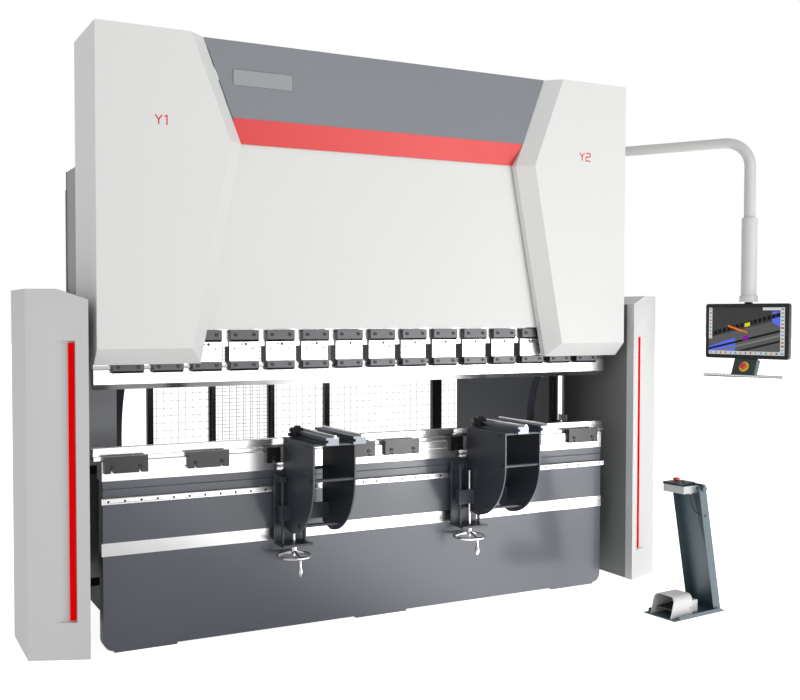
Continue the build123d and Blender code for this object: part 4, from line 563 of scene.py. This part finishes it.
for side in ("left", "right"):
    dress(f"{side}_support_carriage", SUPPORT_DARK, bevel=0.001)
    dress(f"{side}_support_bracket", SUPPORT_DARK, bevel=0.0012)
    dress(f"{side}_support_arms", EXTRUSION, bevel=0.0008, others=[(ROD_STEEL, rod_test(side))])
    dress(f"{side}_support_stop", RUBBER_BLACK, bevel=0.001)
    dress(f"{side}_handwheel", CHROME, bevel=0.001)
    dress(f"{side}_wheel_handle", CHROME, bevel=0.0005)
print("supports done")

# %% Pendant and pedestal

dress("pendant_bracket", UNIT_GREY, bevel=0.001)
# The arm is a white tube; its grey is painted shade.
dress("pendant_arm", TUBE_WHITE_SHADED, bevel=0.001)
dress("hmi_housing", SHELL_BLACK, bevel=0.002)
dress("hmi_glass", SHELL_BLACK, bevel=0.0008)

UP = np.array([0, 0, 1.0])
PANEL_YAW, PANEL_TILT = math.radians(-75.8), math.radians(24)
PANEL_RIGHT = np.array([math.cos(PANEL_YAW), math.sin(PANEL_YAW), 0.0])
PANEL_FACING = np.array([math.sin(PANEL_YAW), -math.cos(PANEL_YAW), 0.0])
DROP_TUBE = np.array([2.162, -0.690, 0.0])
CONSOLE_CENTRE = DROP_TUBE + PANEL_FACING * 0.044 + UP * 1.386
CONSOLE_NORMAL = PANEL_FACING * math.cos(PANEL_TILT) + UP * math.sin(PANEL_TILT)
CONSOLE_UP = np.cross(CONSOLE_NORMAL, PANEL_RIGHT)
BAR_CENTRE = CONSOLE_CENTRE - CONSOLE_UP * 0.058 - CONSOLE_NORMAL * 0.0126
RING_REACH, BAR_REACH = 0.033, 0.0136


def ring_test(centres, normals):
    """Faces above the console's face and within the ring's radius."""
    spot = centres - CONSOLE_CENTRE
    high = spot @ CONSOLE_NORMAL
    flat = np.linalg.norm(spot - high[:, None] * CONSOLE_NORMAL, axis=1)
    return (high > 0.0003) & (flat < RING_REACH)


def bar_test(centres, normals):
    """Faces of the handle bar below the console."""
    spot = centres - BAR_CENTRE
    along = spot @ PANEL_RIGHT
    return np.linalg.norm(spot - along[:, None] * PANEL_RIGHT, axis=1) < BAR_REACH


dress("hmi_console", CONSOLE_TEAL, bevel=0.001, others=[(RING_YELLOW, ring_test), (ROD_STEEL, bar_test)])
dress("hmi_stop_button", BUTTON_RED, bevel=0)
dress("pedestal_stand", STAND_TEAL, bevel=0.001)
LID_DEPTH = 0.0225
lid_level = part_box("control_box")[1].z - LID_DEPTH
dress("control_box", BOX_GREY, bevel=0.0006, others=[(CONSOLE_TEAL, lambda c, n: c[:, 2] > lid_level)])
dress("pedestal_stop_button", BUTTON_RED, bevel=0)
dress("pedal_guard", PEDAL_WHITE, bevel=0.001)
dress("pedal", TREAD_DARK, bevel=0.001)
print("pendant and pedestal done")

# %% [markdown]
# ## Sections carried to a length
#
# Some small pieces are prisms: one flat section, placed at both ends of a length, with one wall for
# each side of the section. Their faces depend only on how many corners the section has.

# %% Prisms, and several meshes in one


def prism_faces(count):
    """The walls between two rings of count points, then both ends."""
    here = np.arange(count)
    there = (here + 1) % count
    walls = np.column_stack([here, there, there + count, here + count])
    return walls.tolist() + [here.tolist(), (here + count).tolist()]


def upright(section, levels):
    """A flat section of (x, y) corners carried straight up from one level to another."""
    count = len(section)
    heights = np.repeat(levels, count).reshape(2, count, 1)
    return np.dstack([np.tile(section, (2, 1, 1)), heights]).reshape(-1, 3), prism_faces(count)


def joined(parts):
    """Stacks several (points, faces) pairs into one."""
    points, faces, base = [], [], 0
    for some, polygons in parts:
        points.append(some)
        faces += [[corner + base for corner in polygon] for polygon in polygons]
        base += len(some)
    return np.vstack(points), faces


# %% [markdown]
# ## Bars by the hundred
#
# The fence is welded from thin round wires. One array holds every bar's two ends, and a single
# sum places all the rings at once: ring = end + r cos(a) u + r sin(a) v, where u and v stand across
# the bar. No wire is placed by hand.

# %% Many round bars in one mesh


def bar_mesh(starts, ends, radius, sides):
    """Closed round bars between two arrays of points, as vertices and faces."""
    starts, ends = np.asarray(starts, float), np.asarray(ends, float)
    along = ends - starts
    along /= np.linalg.norm(along, axis=1)[:, None]
    helper = np.where(np.abs(along[:, 2:]) > 0.9, [[1.0, 0, 0]], [[0, 0, 1.0]])
    u = np.cross(along, helper)
    u /= np.linalg.norm(u, axis=1)[:, None]
    v = np.cross(along, u)
    turn = np.arange(sides) * 2 * math.pi / sides
    cosine, sine = np.cos(turn)[None, :, None], np.sin(turn)[None, :, None]
    ring = radius * (cosine * u[:, None] + sine * v[:, None])
    points = np.stack([starts[:, None] + ring, ends[:, None] + ring], axis=1)
    count = len(starts)
    base = (np.arange(count) * 2 * sides)[:, None]
    here = np.arange(sides)[None]
    there = (here + 1) % sides
    corners = [base + here, base + there, base + sides + there, base + sides + here]
    walls = np.stack(corners, axis=2).reshape(-1, 4)
    low = base + here[:, ::-1]
    high = base + sides + here
    return points.reshape(-1, 3), walls.tolist() + low.tolist() + high.tolist()


def add_piece(name, points, faces, finish, body, replaces=()):
    """Makes a mesh object from arrays, with normals outward, and lets it ride on a body."""
    mesh = bpy.data.meshes.new(name)
    mesh.from_pydata(points.tolist(), [], faces)
    work = bmesh.new()
    work.from_mesh(mesh)
    bmesh.ops.remove_doubles(work, verts=work.verts, dist=1e-6)
    bmesh.ops.recalc_face_normals(work, faces=work.faces)
    work.to_mesh(mesh)
    work.free()
    mesh.materials.append(finish)
    shade_smooth(mesh, 35)
    piece = linked(name, mesh)
    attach(piece, body)
    if replaces:
        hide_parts(*replaces)
    return piece


# %% Seals between the guards' hinges and the enclosure

SEAL_X, SEAL_Y, SEAL_Z = (1.634, 1.638), (0.512, 0.575), (0.16, 1.74)


def seal_mesh(side, waves=2.0, depth=0.0015, steps=24):
    """A strip of even thickness whose faces ripple along y: x = face + depth (cos(waves turns) - 1)."""
    y = np.linspace(*SEAL_Y, steps)
    share = (y - SEAL_Y[0]) / (SEAL_Y[1] - SEAL_Y[0])
    ripple = depth * (np.cos(2 * math.pi * waves * share) - 1)
    outer = np.column_stack([side * (SEAL_X[1] + ripple), y])
    inner = np.column_stack([side * (SEAL_X[0] + ripple), y])[::-1]
    return upright(np.vstack([outer, inner]), SEAL_Z)


for side, name in ((-1, "left_seal"), (1, "right_seal")):
    points, faces = seal_mesh(side)
    add_piece(name, points, faces, LINER_SHADE_AND_SEAL, "machine")

# %% [markdown]
# Each red strip is a bar pushed into its slot, and its face lies a little below the guard's front.
# Its red is its own and its glow is painted. It is a long bar with cut front corners: one small section
# carried straight up.

# %% Red strips in the guards' slots, with a painted glow

STRIP_SHARE, STRIP_LEVELS = (0.2400, 0.3295), (0.2350, 1.5600)


def red_strip(side, face_depth=0.0015, back_depth=0.0155, cut=0.002):
    """Section = a strip between two depths in the slot, with its front corners cut."""
    low, high = STRIP_SHARE[0] * FRONT_WIDTH, STRIP_SHARE[1] * FRONT_WIDTH
    inward = np.array([-FRONT_ALONG[1], FRONT_ALONG[0]])
    section = np.array([
        (low, back_depth), (low, face_depth + cut), (low + cut, face_depth),
        (high - cut, face_depth), (high, face_depth + cut), (high, back_depth),
    ])
    flat = FRONT_INNER + section[:, :1] * FRONT_ALONG + section[:, 1:] * inward
    flat[:, 0] *= side
    return upright(flat, STRIP_LEVELS)


# The strips' glow is painted light; no lamp stands behind them.
for side, name in ((-1, "left_guard"), (1, "right_guard")):
    points, faces = red_strip(side)
    add_piece(name + "_red_strip", points, faces, RED_PAINTED_GLOW, name)

# %% Fence wires in each bay

low_corner, high_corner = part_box("fence_mesh")
BAYS = [(-0.848, -0.460), (-0.420, -0.032), (0.008, 0.396), (0.436, 1.290), (1.370, 1.605)]
WIRE_RADIUS, WIRE_PITCH, WIRE_SIDES = 0.0016, 0.050, 6
front = low_corner.y + WIRE_RADIUS
behind = front + 0.0029
wire_starts, wire_ends = [], []
for left, right in BAYS:
    columns = np.arange(left + WIRE_PITCH / 2, right, WIRE_PITCH)
    rows = np.arange(low_corner.z + WIRE_PITCH / 2, high_corner.z, WIRE_PITCH)
    wire_starts += [(x, front, low_corner.z) for x in columns] + [(left, behind, z) for z in rows]
    wire_ends += [(x, front, high_corner.z) for x in columns] + [(right, behind, z) for z in rows]
points, faces = bar_mesh(wire_starts, wire_ends, WIRE_RADIUS, WIRE_SIDES)
add_piece("fence_wires", points, faces, FENCE_BLACK_AND_SLOT_SHADE, "machine", replaces=["fence_mesh"])
print("wires:", len(wire_starts))

# %% [markdown]
# ## Turned pieces
#
# Knobs, screw heads and collars come off a lathe, so they are a profile of (radius, height) pairs
# turned about an axis: point = centre + r cos(a) u + r sin(a) v + h w.

# %% A lathe for many copies


def lathe(profile, centres, axis, sides=24):
    """Turns one profile about one axis direction at every centre."""
    profile = np.asarray(profile, float)
    centres = np.asarray(centres, float).reshape(-1, 3)
    w = np.asarray(axis, float)
    w = w / np.linalg.norm(w)
    helper = np.array([1.0, 0, 0]) if abs(w[0]) < 0.9 else np.array([0, 0, 1.0])
    u = np.cross(w, helper)
    u /= np.linalg.norm(u)
    v = np.cross(w, u)
    turn = np.arange(sides) * 2 * math.pi / sides
    around = np.cos(turn)[:, None] * u + np.sin(turn)[:, None] * v
    shape = profile[:, 0, None, None] * around[None] + profile[:, 1, None, None] * w
    points = centres[:, None, None] + shape[None]
    rows = len(profile)
    base = (np.arange(len(centres)) * rows * sides)[:, None, None]
    i, j = np.arange(rows - 1)[None, :, None], np.arange(sides)[None, None, :]
    k = (j + 1) % sides
    low, high = base + i * sides, base + (i + 1) * sides
    quads = np.stack([low + j, low + k, high + k, high + j], axis=-1)
    return points.reshape(-1, 3), quads.reshape(-1, 4).tolist()


def screw_profile(radius, height):
    """A button head with a socket: up the side, over the rim, down into the recess."""
    return [
        (0, 0), (radius, 0), (radius, height * 0.55), (radius * 0.86, height), (radius * 0.5, height),
        (radius * 0.46, height * 0.35), (0, height * 0.3),
    ]


# %% Screws in the support brackets' side plates

SCREW_SPOTS = ((-0.503, 0.862), (-0.330, 0.604), (-0.130, 0.872))
for side, face_x in SIDE_PLATE_X.items():
    spots = [(face_x, y, z) for y, z in SCREW_SPOTS]
    points, faces = lathe(screw_profile(0.012, 0.006), spots, (-1, 0, 0))
    bracket = f"{side}_support_bracket"
    add_piece(f"{side}_bracket_screws", points, faces, CLAMP_BLACK_AND_SHADE, bracket)

# %% Small screws in the tool holders' faces

UNIT_PITCH, UNITS = 0.203, 15
holder_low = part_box("tool_holders")[0]
unit_centres = (np.arange(UNITS) - (UNITS - 1) / 2) * UNIT_PITCH
pin_level, screw_level = 1.540, 1.516
for name, offset, z, radius in (
    ("holder_pins", 0.012, pin_level, 0.0080),
    ("holder_vents", -0.010, pin_level, 0.0050),
    ("holder_left_screws", -0.051, screw_level, 0.0052),
    ("holder_right_screws", 0.051, screw_level, 0.0052),
):
    spots = np.column_stack([unit_centres + offset, np.full(UNITS, holder_low.y), np.full(UNITS, z)])
    points, faces = lathe(screw_profile(radius, 0.0012), spots, (0, -1, 0), sides=12)
    add_piece(name, points, faces, CLAMP_BLACK_AND_SHADE, "ram")

# %% Slots cut in the brackets' side plates, shown as black inlays: painted shade in the slots

SLOT_PLACES, SLOT_LENGTH, SLOT_RADIUS, INLAY = ((-0.160, 1.028), (-0.460, 1.028)), 0.036, 0.005, 0.0006


def slot_shade_inlay(face_x, place):
    """A thin prism along x whose section is a slot with two round ends, seven points to an end; its black is
    painted shade.
    """
    turn = np.linspace(math.pi / 2, 3 * math.pi / 2, 7)
    cap = np.column_stack([np.cos(turn), np.sin(turn)]) * SLOT_RADIUS
    outline = np.vstack([cap - [SLOT_LENGTH / 2, 0], -cap + [SLOT_LENGTH / 2, 0]]) + place
    count = len(outline)
    near = np.column_stack([np.full(count, face_x - INLAY), outline])
    far = np.column_stack([np.full(count, face_x + INLAY), outline])
    return np.vstack([near, far]), prism_faces(count)


for side, face_x in SIDE_PLATE_X.items():
    points, faces = joined([slot_shade_inlay(face_x, place) for place in SLOT_PLACES])
    bracket = f"{side}_support_bracket"
    add_piece(f"{side}_bracket_slots", points, faces, FENCE_BLACK_AND_SLOT_SHADE, bracket)

# %% [markdown]
# ## Strokes
#
# The two axis marks on the covers are plain strokes of one width. A stroke is a flat strip carried
# along a path; at a bend the strip is widened by 1 / cos(half the turn), so that its width stays.

# %% A strip carried along a path


def stroke(path, width, thickness, origin):
    """A strip on a wall that faces -Y: path holds (x, z) pairs from the origin."""
    path = np.asarray(path, float)
    step = np.diff(path, axis=0)
    step /= np.linalg.norm(step, axis=1)[:, None]
    side = np.column_stack([-step[:, 1], step[:, 0]])
    first, last = side[:1], side[-1:]
    middle = side[:-1] + side[1:]
    middle = middle / (1 + np.sum(side[:-1] * side[1:], axis=1))[:, None]
    across = np.vstack([first, middle, last]) * width / 2
    edges = np.stack([path + across, path - across], axis=1)
    front = np.zeros((len(path), 4, 3))
    front[:, :2, 0], front[:, :2, 2] = edges[..., 0], edges[..., 1]
    front[:, 2:, 0], front[:, 2:, 2] = edges[:, ::-1, 0], edges[:, ::-1, 1]
    front[:, :2, 1] = -thickness
    points = front.reshape(-1, 3) + np.asarray(origin)
    i, j = np.arange(len(path) - 1)[:, None] * 4, np.arange(4)[None]
    k = (j + 1) % 4
    quads = np.stack([i + j, i + k, i + 4 + k, i + 4 + j], axis=-1).reshape(-1, 4)
    ends = [[3, 2, 1, 0], (np.arange(4) + 4 * (len(path) - 1)).tolist()]
    return points, quads.tolist() + ends


LETTER_Y = [[(0, 0.046), (0.017, 0.024), (0.034, 0.046)], [(0.017, 0.024), (0.017, 0.0)]]
FIGURE_1 = [[(0.046, 0.040), (0.058, 0.046), (0.058, 0.0)]]
FIGURE_2 = [[
    (0.046, 0.046), (0.074, 0.046), (0.078, 0.042), (0.078, 0.028), (0.074, 0.024),
    (0.050, 0.024), (0.046, 0.020), (0.046, 0.0), (0.080, 0.0),
]]
MARK_LEVEL, STROKE_WIDTH, STROKE_DEPTH = 2.624, 0.0065, 0.0008
cover_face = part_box("left_front_cover")[0].y
for name, figure, x in (("left_mark", FIGURE_1, -1.315), ("right_mark", FIGURE_2, 1.256)):
    corner = (x, cover_face, MARK_LEVEL)
    points, faces = joined([stroke(path, STROKE_WIDTH, STROKE_DEPTH, corner) for path in LETTER_Y + figure])
    add_piece(name, points, faces, MARK_RED, "machine")

# %% [markdown]
# ## The picture on the control panel
#
# The panel shows a plain drawing of a bend: grey tools, a sheet, coloured stops and rows of icons.
# It is a function of two numbers, u across and v up, that returns a colour, so any fineness works.

# %% Colours of the picture


INK_BLUE, INK_ORANGE = (0.10, 0.15, 0.80), (0.75, 0.16, 0.01)
INK_YELLOW, INK_PURPLE = (0.70, 0.62, 0.02), (0.22, 0.01, 0.30)


def picture_colours(u, v):
    """Paints shapes over a grey ground; each is a test on u and v, later ones on top."""
    ink = np.full((len(u), 3), 0.045)
    ink[v < 0.50 + 0.42 * (u - 0.35)] = 0.10
    ink[(v < 0.30 + 0.55 * (u - 0.25)) & (u < 0.36)] = INK_BLUE
    ink[(v > 0.60) & (u > 0.84) & (v < 0.92) & (v > 0.62 + 0.9 * (0.92 - u))] = INK_BLUE
    teeth = np.abs(v - (0.42 + 0.46 * u)) < 0.045
    ink[teeth] = 0.006
    ink[teeth & ((u * 17) % 1 < 0.22)] = 0.05
    for level, tone in ((0.115, 0.006), (0.02, 0.18), (-0.10, 0.012)):
        ink[np.abs(v - (level + 0.42 * u)) < 0.022] = tone
    ink[(np.abs((v - 0.60) + 0.55 * (u - 0.28)) < 0.022) & (u > 0.26) & (u < 0.46)] = INK_ORANGE
    ink[(np.abs((v - 0.56) + 0.55 * (u - 0.36)) < 0.018) & (u > 0.34) & (u < 0.52)] = INK_ORANGE
    ink[(np.abs(u - 0.52) < 0.035) & (np.abs(v - 0.64 - 0.4 * (u - 0.52)) < 0.04)] = INK_YELLOW
    ink[(np.abs(u - 0.50) < 0.040) & (np.abs(v - 0.36 - 0.4 * (u - 0.50)) < 0.045)] = INK_PURPLE
    ink[(u > 0.945) | ((u < 0.045) & (v > 0.33)) | ((v > 0.945) & (u > 0.72))] = 0.62
    ink[v < 0.075] = 0.55
    return ink


ICON_COLOURS = np.array([
    (0.05, 0.25, 0.60), (0.10, 0.10, 0.10), (0.03, 0.35, 0.05), (0.30, 0.30, 0.32), (0.55, 0.08, 0.03),
])
ICONS_ACROSS, ICONS_UP = 15, 13


def icon_colours(u, v, ink):
    """Small squares along the bars, whose colours cycle through a fixed list."""
    column, row = np.floor(u * ICONS_ACROSS).astype(int), np.floor(v * ICONS_UP).astype(int)
    across, up = (u * ICONS_ACROSS) % 1, (v * ICONS_UP) % 1
    kinds = len(ICON_COLOURS)
    low = (v < 0.058) & (v > 0.018) & (across > 0.35) & (across < 0.62) & (u < 0.93)
    right = (u > 0.957) & (u < 0.988) & (up > 0.30) & (up < 0.66)
    left = (u > 0.012) & (u < 0.034) & (up > 0.35) & (up < 0.65) & (v > 0.35)
    ink[low] = ICON_COLOURS[column[low] * 2 % kinds]
    ink[right] = ICON_COLOURS[row[right] * 3 % kinds]
    ink[left] = ICON_COLOURS[row[left] % kinds]
    return ink


# %% The picture's sheet of faces

COLUMNS, ROWS = 200, 120
SCREEN_WIDTH, SCREEN_HEIGHT = 0.500, 0.284
screen_centre = DROP_TUBE + PANEL_FACING * 0.0293 + UP * 1.600
across, up = np.meshgrid(np.linspace(-0.5, 0.5, COLUMNS + 1), np.linspace(-0.5, 0.5, ROWS + 1))
offset = across[..., None] * SCREEN_WIDTH * PANEL_RIGHT + up[..., None] * SCREEN_HEIGHT * UP
sheet = screen_centre + offset
rows, columns = np.arange(ROWS)[:, None], np.arange(COLUMNS)[None]
first = rows * (COLUMNS + 1) + columns
quads = np.stack([first, first + 1, first + COLUMNS + 2, first + COLUMNS + 1], axis=-1).reshape(-1, 4)
screen = bpy.data.meshes.new("panel_picture")
screen.from_pydata(sheet.reshape(-1, 3).tolist(), [], quads.tolist())
u = ((columns + 0.5) / COLUMNS + 0 * rows).ravel()
v = ((rows + 0.5) / ROWS + 0 * columns).ravel()
ink = icon_colours(u, v, picture_colours(u, v))
attribute = screen.color_attributes.new("ink", "FLOAT_COLOR", "CORNER")
opaque = np.column_stack([ink, np.ones(len(ink))])
attribute.data.foreach_set("color", np.repeat(opaque, 4, axis=0).ravel())
screen.materials.append(PICTURE)
panel_picture = linked("panel_picture", screen)
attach(panel_picture, "hmi")
print("picture faces:", len(quads))

# %% [markdown]
# ## The pedestal's short lead
#
# A lead runs from the box's gland to a grommet in the post. It is one smooth spline through the same
# points as its plain tube, drawn as a curve with a round section.

# %% The lead as a spline

PEDESTAL_PLACE, PEDESTAL_YAW = np.array([1.560, -0.812, 0.0]), math.radians(-84)
POST_FOOT, POST_SLOPE = 0.190, math.tan(math.radians(10.8))
BOX_LEVEL, BOX_DEPTH, BOX_GAP = 0.690, 0.126, 0.012
GLAND_INSET, GLAND_LEVEL = 0.100, 0.676
GROMMET_LEVEL, GROMMET_REACH = 0.560, 0.026
LEAD_DIAMETER = 0.007


def from_pedestal(local):
    """Turns the pedestal's own x, y, z by its yaw and adds its place on the floor."""
    x, y, z = np.asarray(local, float).T
    cosine, sine = math.cos(PEDESTAL_YAW), math.sin(PEDESTAL_YAW)
    return np.column_stack([x * cosine - y * sine, x * sine + y * cosine, z]) + PEDESTAL_PLACE


gland_y = POST_FOOT - BOX_LEVEL * POST_SLOPE - BOX_DEPTH - BOX_GAP + GLAND_INSET
end_y = POST_FOOT - GROMMET_LEVEL * POST_SLOPE - GROMMET_REACH
lead_points = from_pedestal([
    (0.020, gland_y, GLAND_LEVEL),
    (0.020, gland_y + 0.002, 0.640),
    (0.024, gland_y + 0.010, 0.603),
    (0.038, gland_y + 0.024, 0.572),
    (0.062, end_y, GROMMET_LEVEL),
    (0.090, end_y, GROMMET_LEVEL),
])
curve = bpy.data.curves.new("pedestal_lead", "CURVE")
curve.dimensions = "3D"
curve.bevel_depth = LEAD_DIAMETER / 2
curve.bevel_resolution = 4
curve.use_fill_caps = True
spline = curve.splines.new("NURBS")
spline.points.add(len(lead_points) - 1)
spline.points.foreach_set("co", np.column_stack([lead_points, np.ones(len(lead_points))]).ravel())
spline.order_u = 3
spline.use_endpoint_u = True
curve.materials.append(JACKET_BLACK)
pedestal_lead = linked("pedestal_lead", curve)
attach(pedestal_lead, "machine")
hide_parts("pedestal_cable")

# %% [markdown]
# ## Floor, light and camera
#
# A plain pale floor and a bright even sky show the shapes without hiding anything. Two broad soft
# lights add direction: a low one at the front right and a high one in front.

# %% Floor


def build_floor_finish():
    """A pale matt floor, near white to the eye, that the machine's glossy parts mirror more on the right:
    there it glows for reflections alone, a painted reflection.
    """
    material, tree, shader = finish_of("floor")
    noise = wire(tree, "ShaderNodeTexNoise", {"Scale": 2.0}).outputs["Color"]
    tree.links.new(mixed(tree, 0.01, (0.93, 0.93, 0.93, 1), noise), shader.inputs["Base Color"])
    shader.inputs["Roughness"].default_value = 0.9
    shader.inputs["Emission Color"].default_value = (1, 1, 1, 1)
    seen = wire(tree, "ShaderNodeLightPath")
    lift = carried(tree, seen.outputs["Is Camera Ray"], 0.24, 0.9)
    place = wire(tree, "ShaderNodeTexCoord").outputs["Object"]
    across = wire(tree, "ShaderNodeSeparateXYZ", {0: place}).outputs[0]
    # Towards +x the floor glows more for glossy rays only: a painted reflection in the machine's glossy
    # parts.
    reflection_swell = carried(tree, across, 0.0, 3.0, start=-0.6, stop=0.9, interpolation_type="SMOOTHSTEP")
    painted_reflection = maths(tree, "MULTIPLY", reflection_swell, seen.outputs["Is Glossy Ray"])
    tree.links.new(maths(tree, "ADD", lift, painted_reflection), shader.inputs["Emission Strength"])
    return material


REACH = 60.0
floor_mesh = bpy.data.meshes.new("floor")
floor_corners = [(-REACH, -REACH, 0), (REACH, -REACH, 0), (REACH, REACH, 0), (-REACH, REACH, 0)]
floor_mesh.from_pydata(floor_corners, [], [(0, 1, 2, 3)])
floor_mesh.materials.append(build_floor_finish())
floor = linked("floor", floor_mesh)

# %% Sky and lamps

world = bpy.data.worlds.new("studio")
bpy.context.scene.world = world
world.use_nodes = True
backdrop = world.node_tree.nodes["Background"]
seen = wire(world.node_tree, "ShaderNodeLightPath")
sky_strength = carried(world.node_tree, seen.outputs["Is Camera Ray"], 0.62, 1.0)
backdrop.inputs["Color"].default_value = (1.0, 1.0, 1.0, 1)
world.node_tree.links.new(sky_strength, backdrop.inputs["Strength"])


def soft_lamp(name, place, target, size, power):
    """A rectangular area lamp aimed from its place at a target."""
    lamp = bpy.data.lights.new(name, "AREA")
    lamp.shape = "RECTANGLE"
    lamp.size, lamp.size_y = size
    lamp.energy = power
    holder = linked(name, lamp)
    holder.location = place
    holder.rotation_euler = (Vector(target) - Vector(place)).to_track_quat("-Z", "Y").to_euler()


soft_lamp("card", (2.9, -3.9, 0.62), (0.3, 0, 1.3), (1.6, 1.2), 52)
soft_lamp("key", (1.5, -8.0, 5.0), (0.4, 0, 1.9), (4, 3), 90)
bpy.context.scene.view_settings.view_transform = "Standard"

# %% Camera

CAMERA_PLACE = (-2.6907, -5.3814, 1.6914)
CAMERA_YAW, CAMERA_PITCH, CAMERA_ROLL = (math.radians(angle) for angle in (27.8155, -1.861, 0.084))
SENSOR_WIDTH, LENS = 36.0, 47.79585

camera_data = bpy.data.cameras.new("camera")
camera_data.sensor_width = SENSOR_WIDTH
camera_data.lens = LENS
camera = linked("camera", camera_data)
camera.location = CAMERA_PLACE
facing = Matrix.Rotation(-CAMERA_YAW, 4, "Z") @ Matrix.Rotation(math.pi / 2 + CAMERA_PITCH, 4, "X")
camera.rotation_euler = (facing @ Matrix.Rotation(CAMERA_ROLL, 4, "Z")).to_euler()
bpy.context.scene.camera = camera
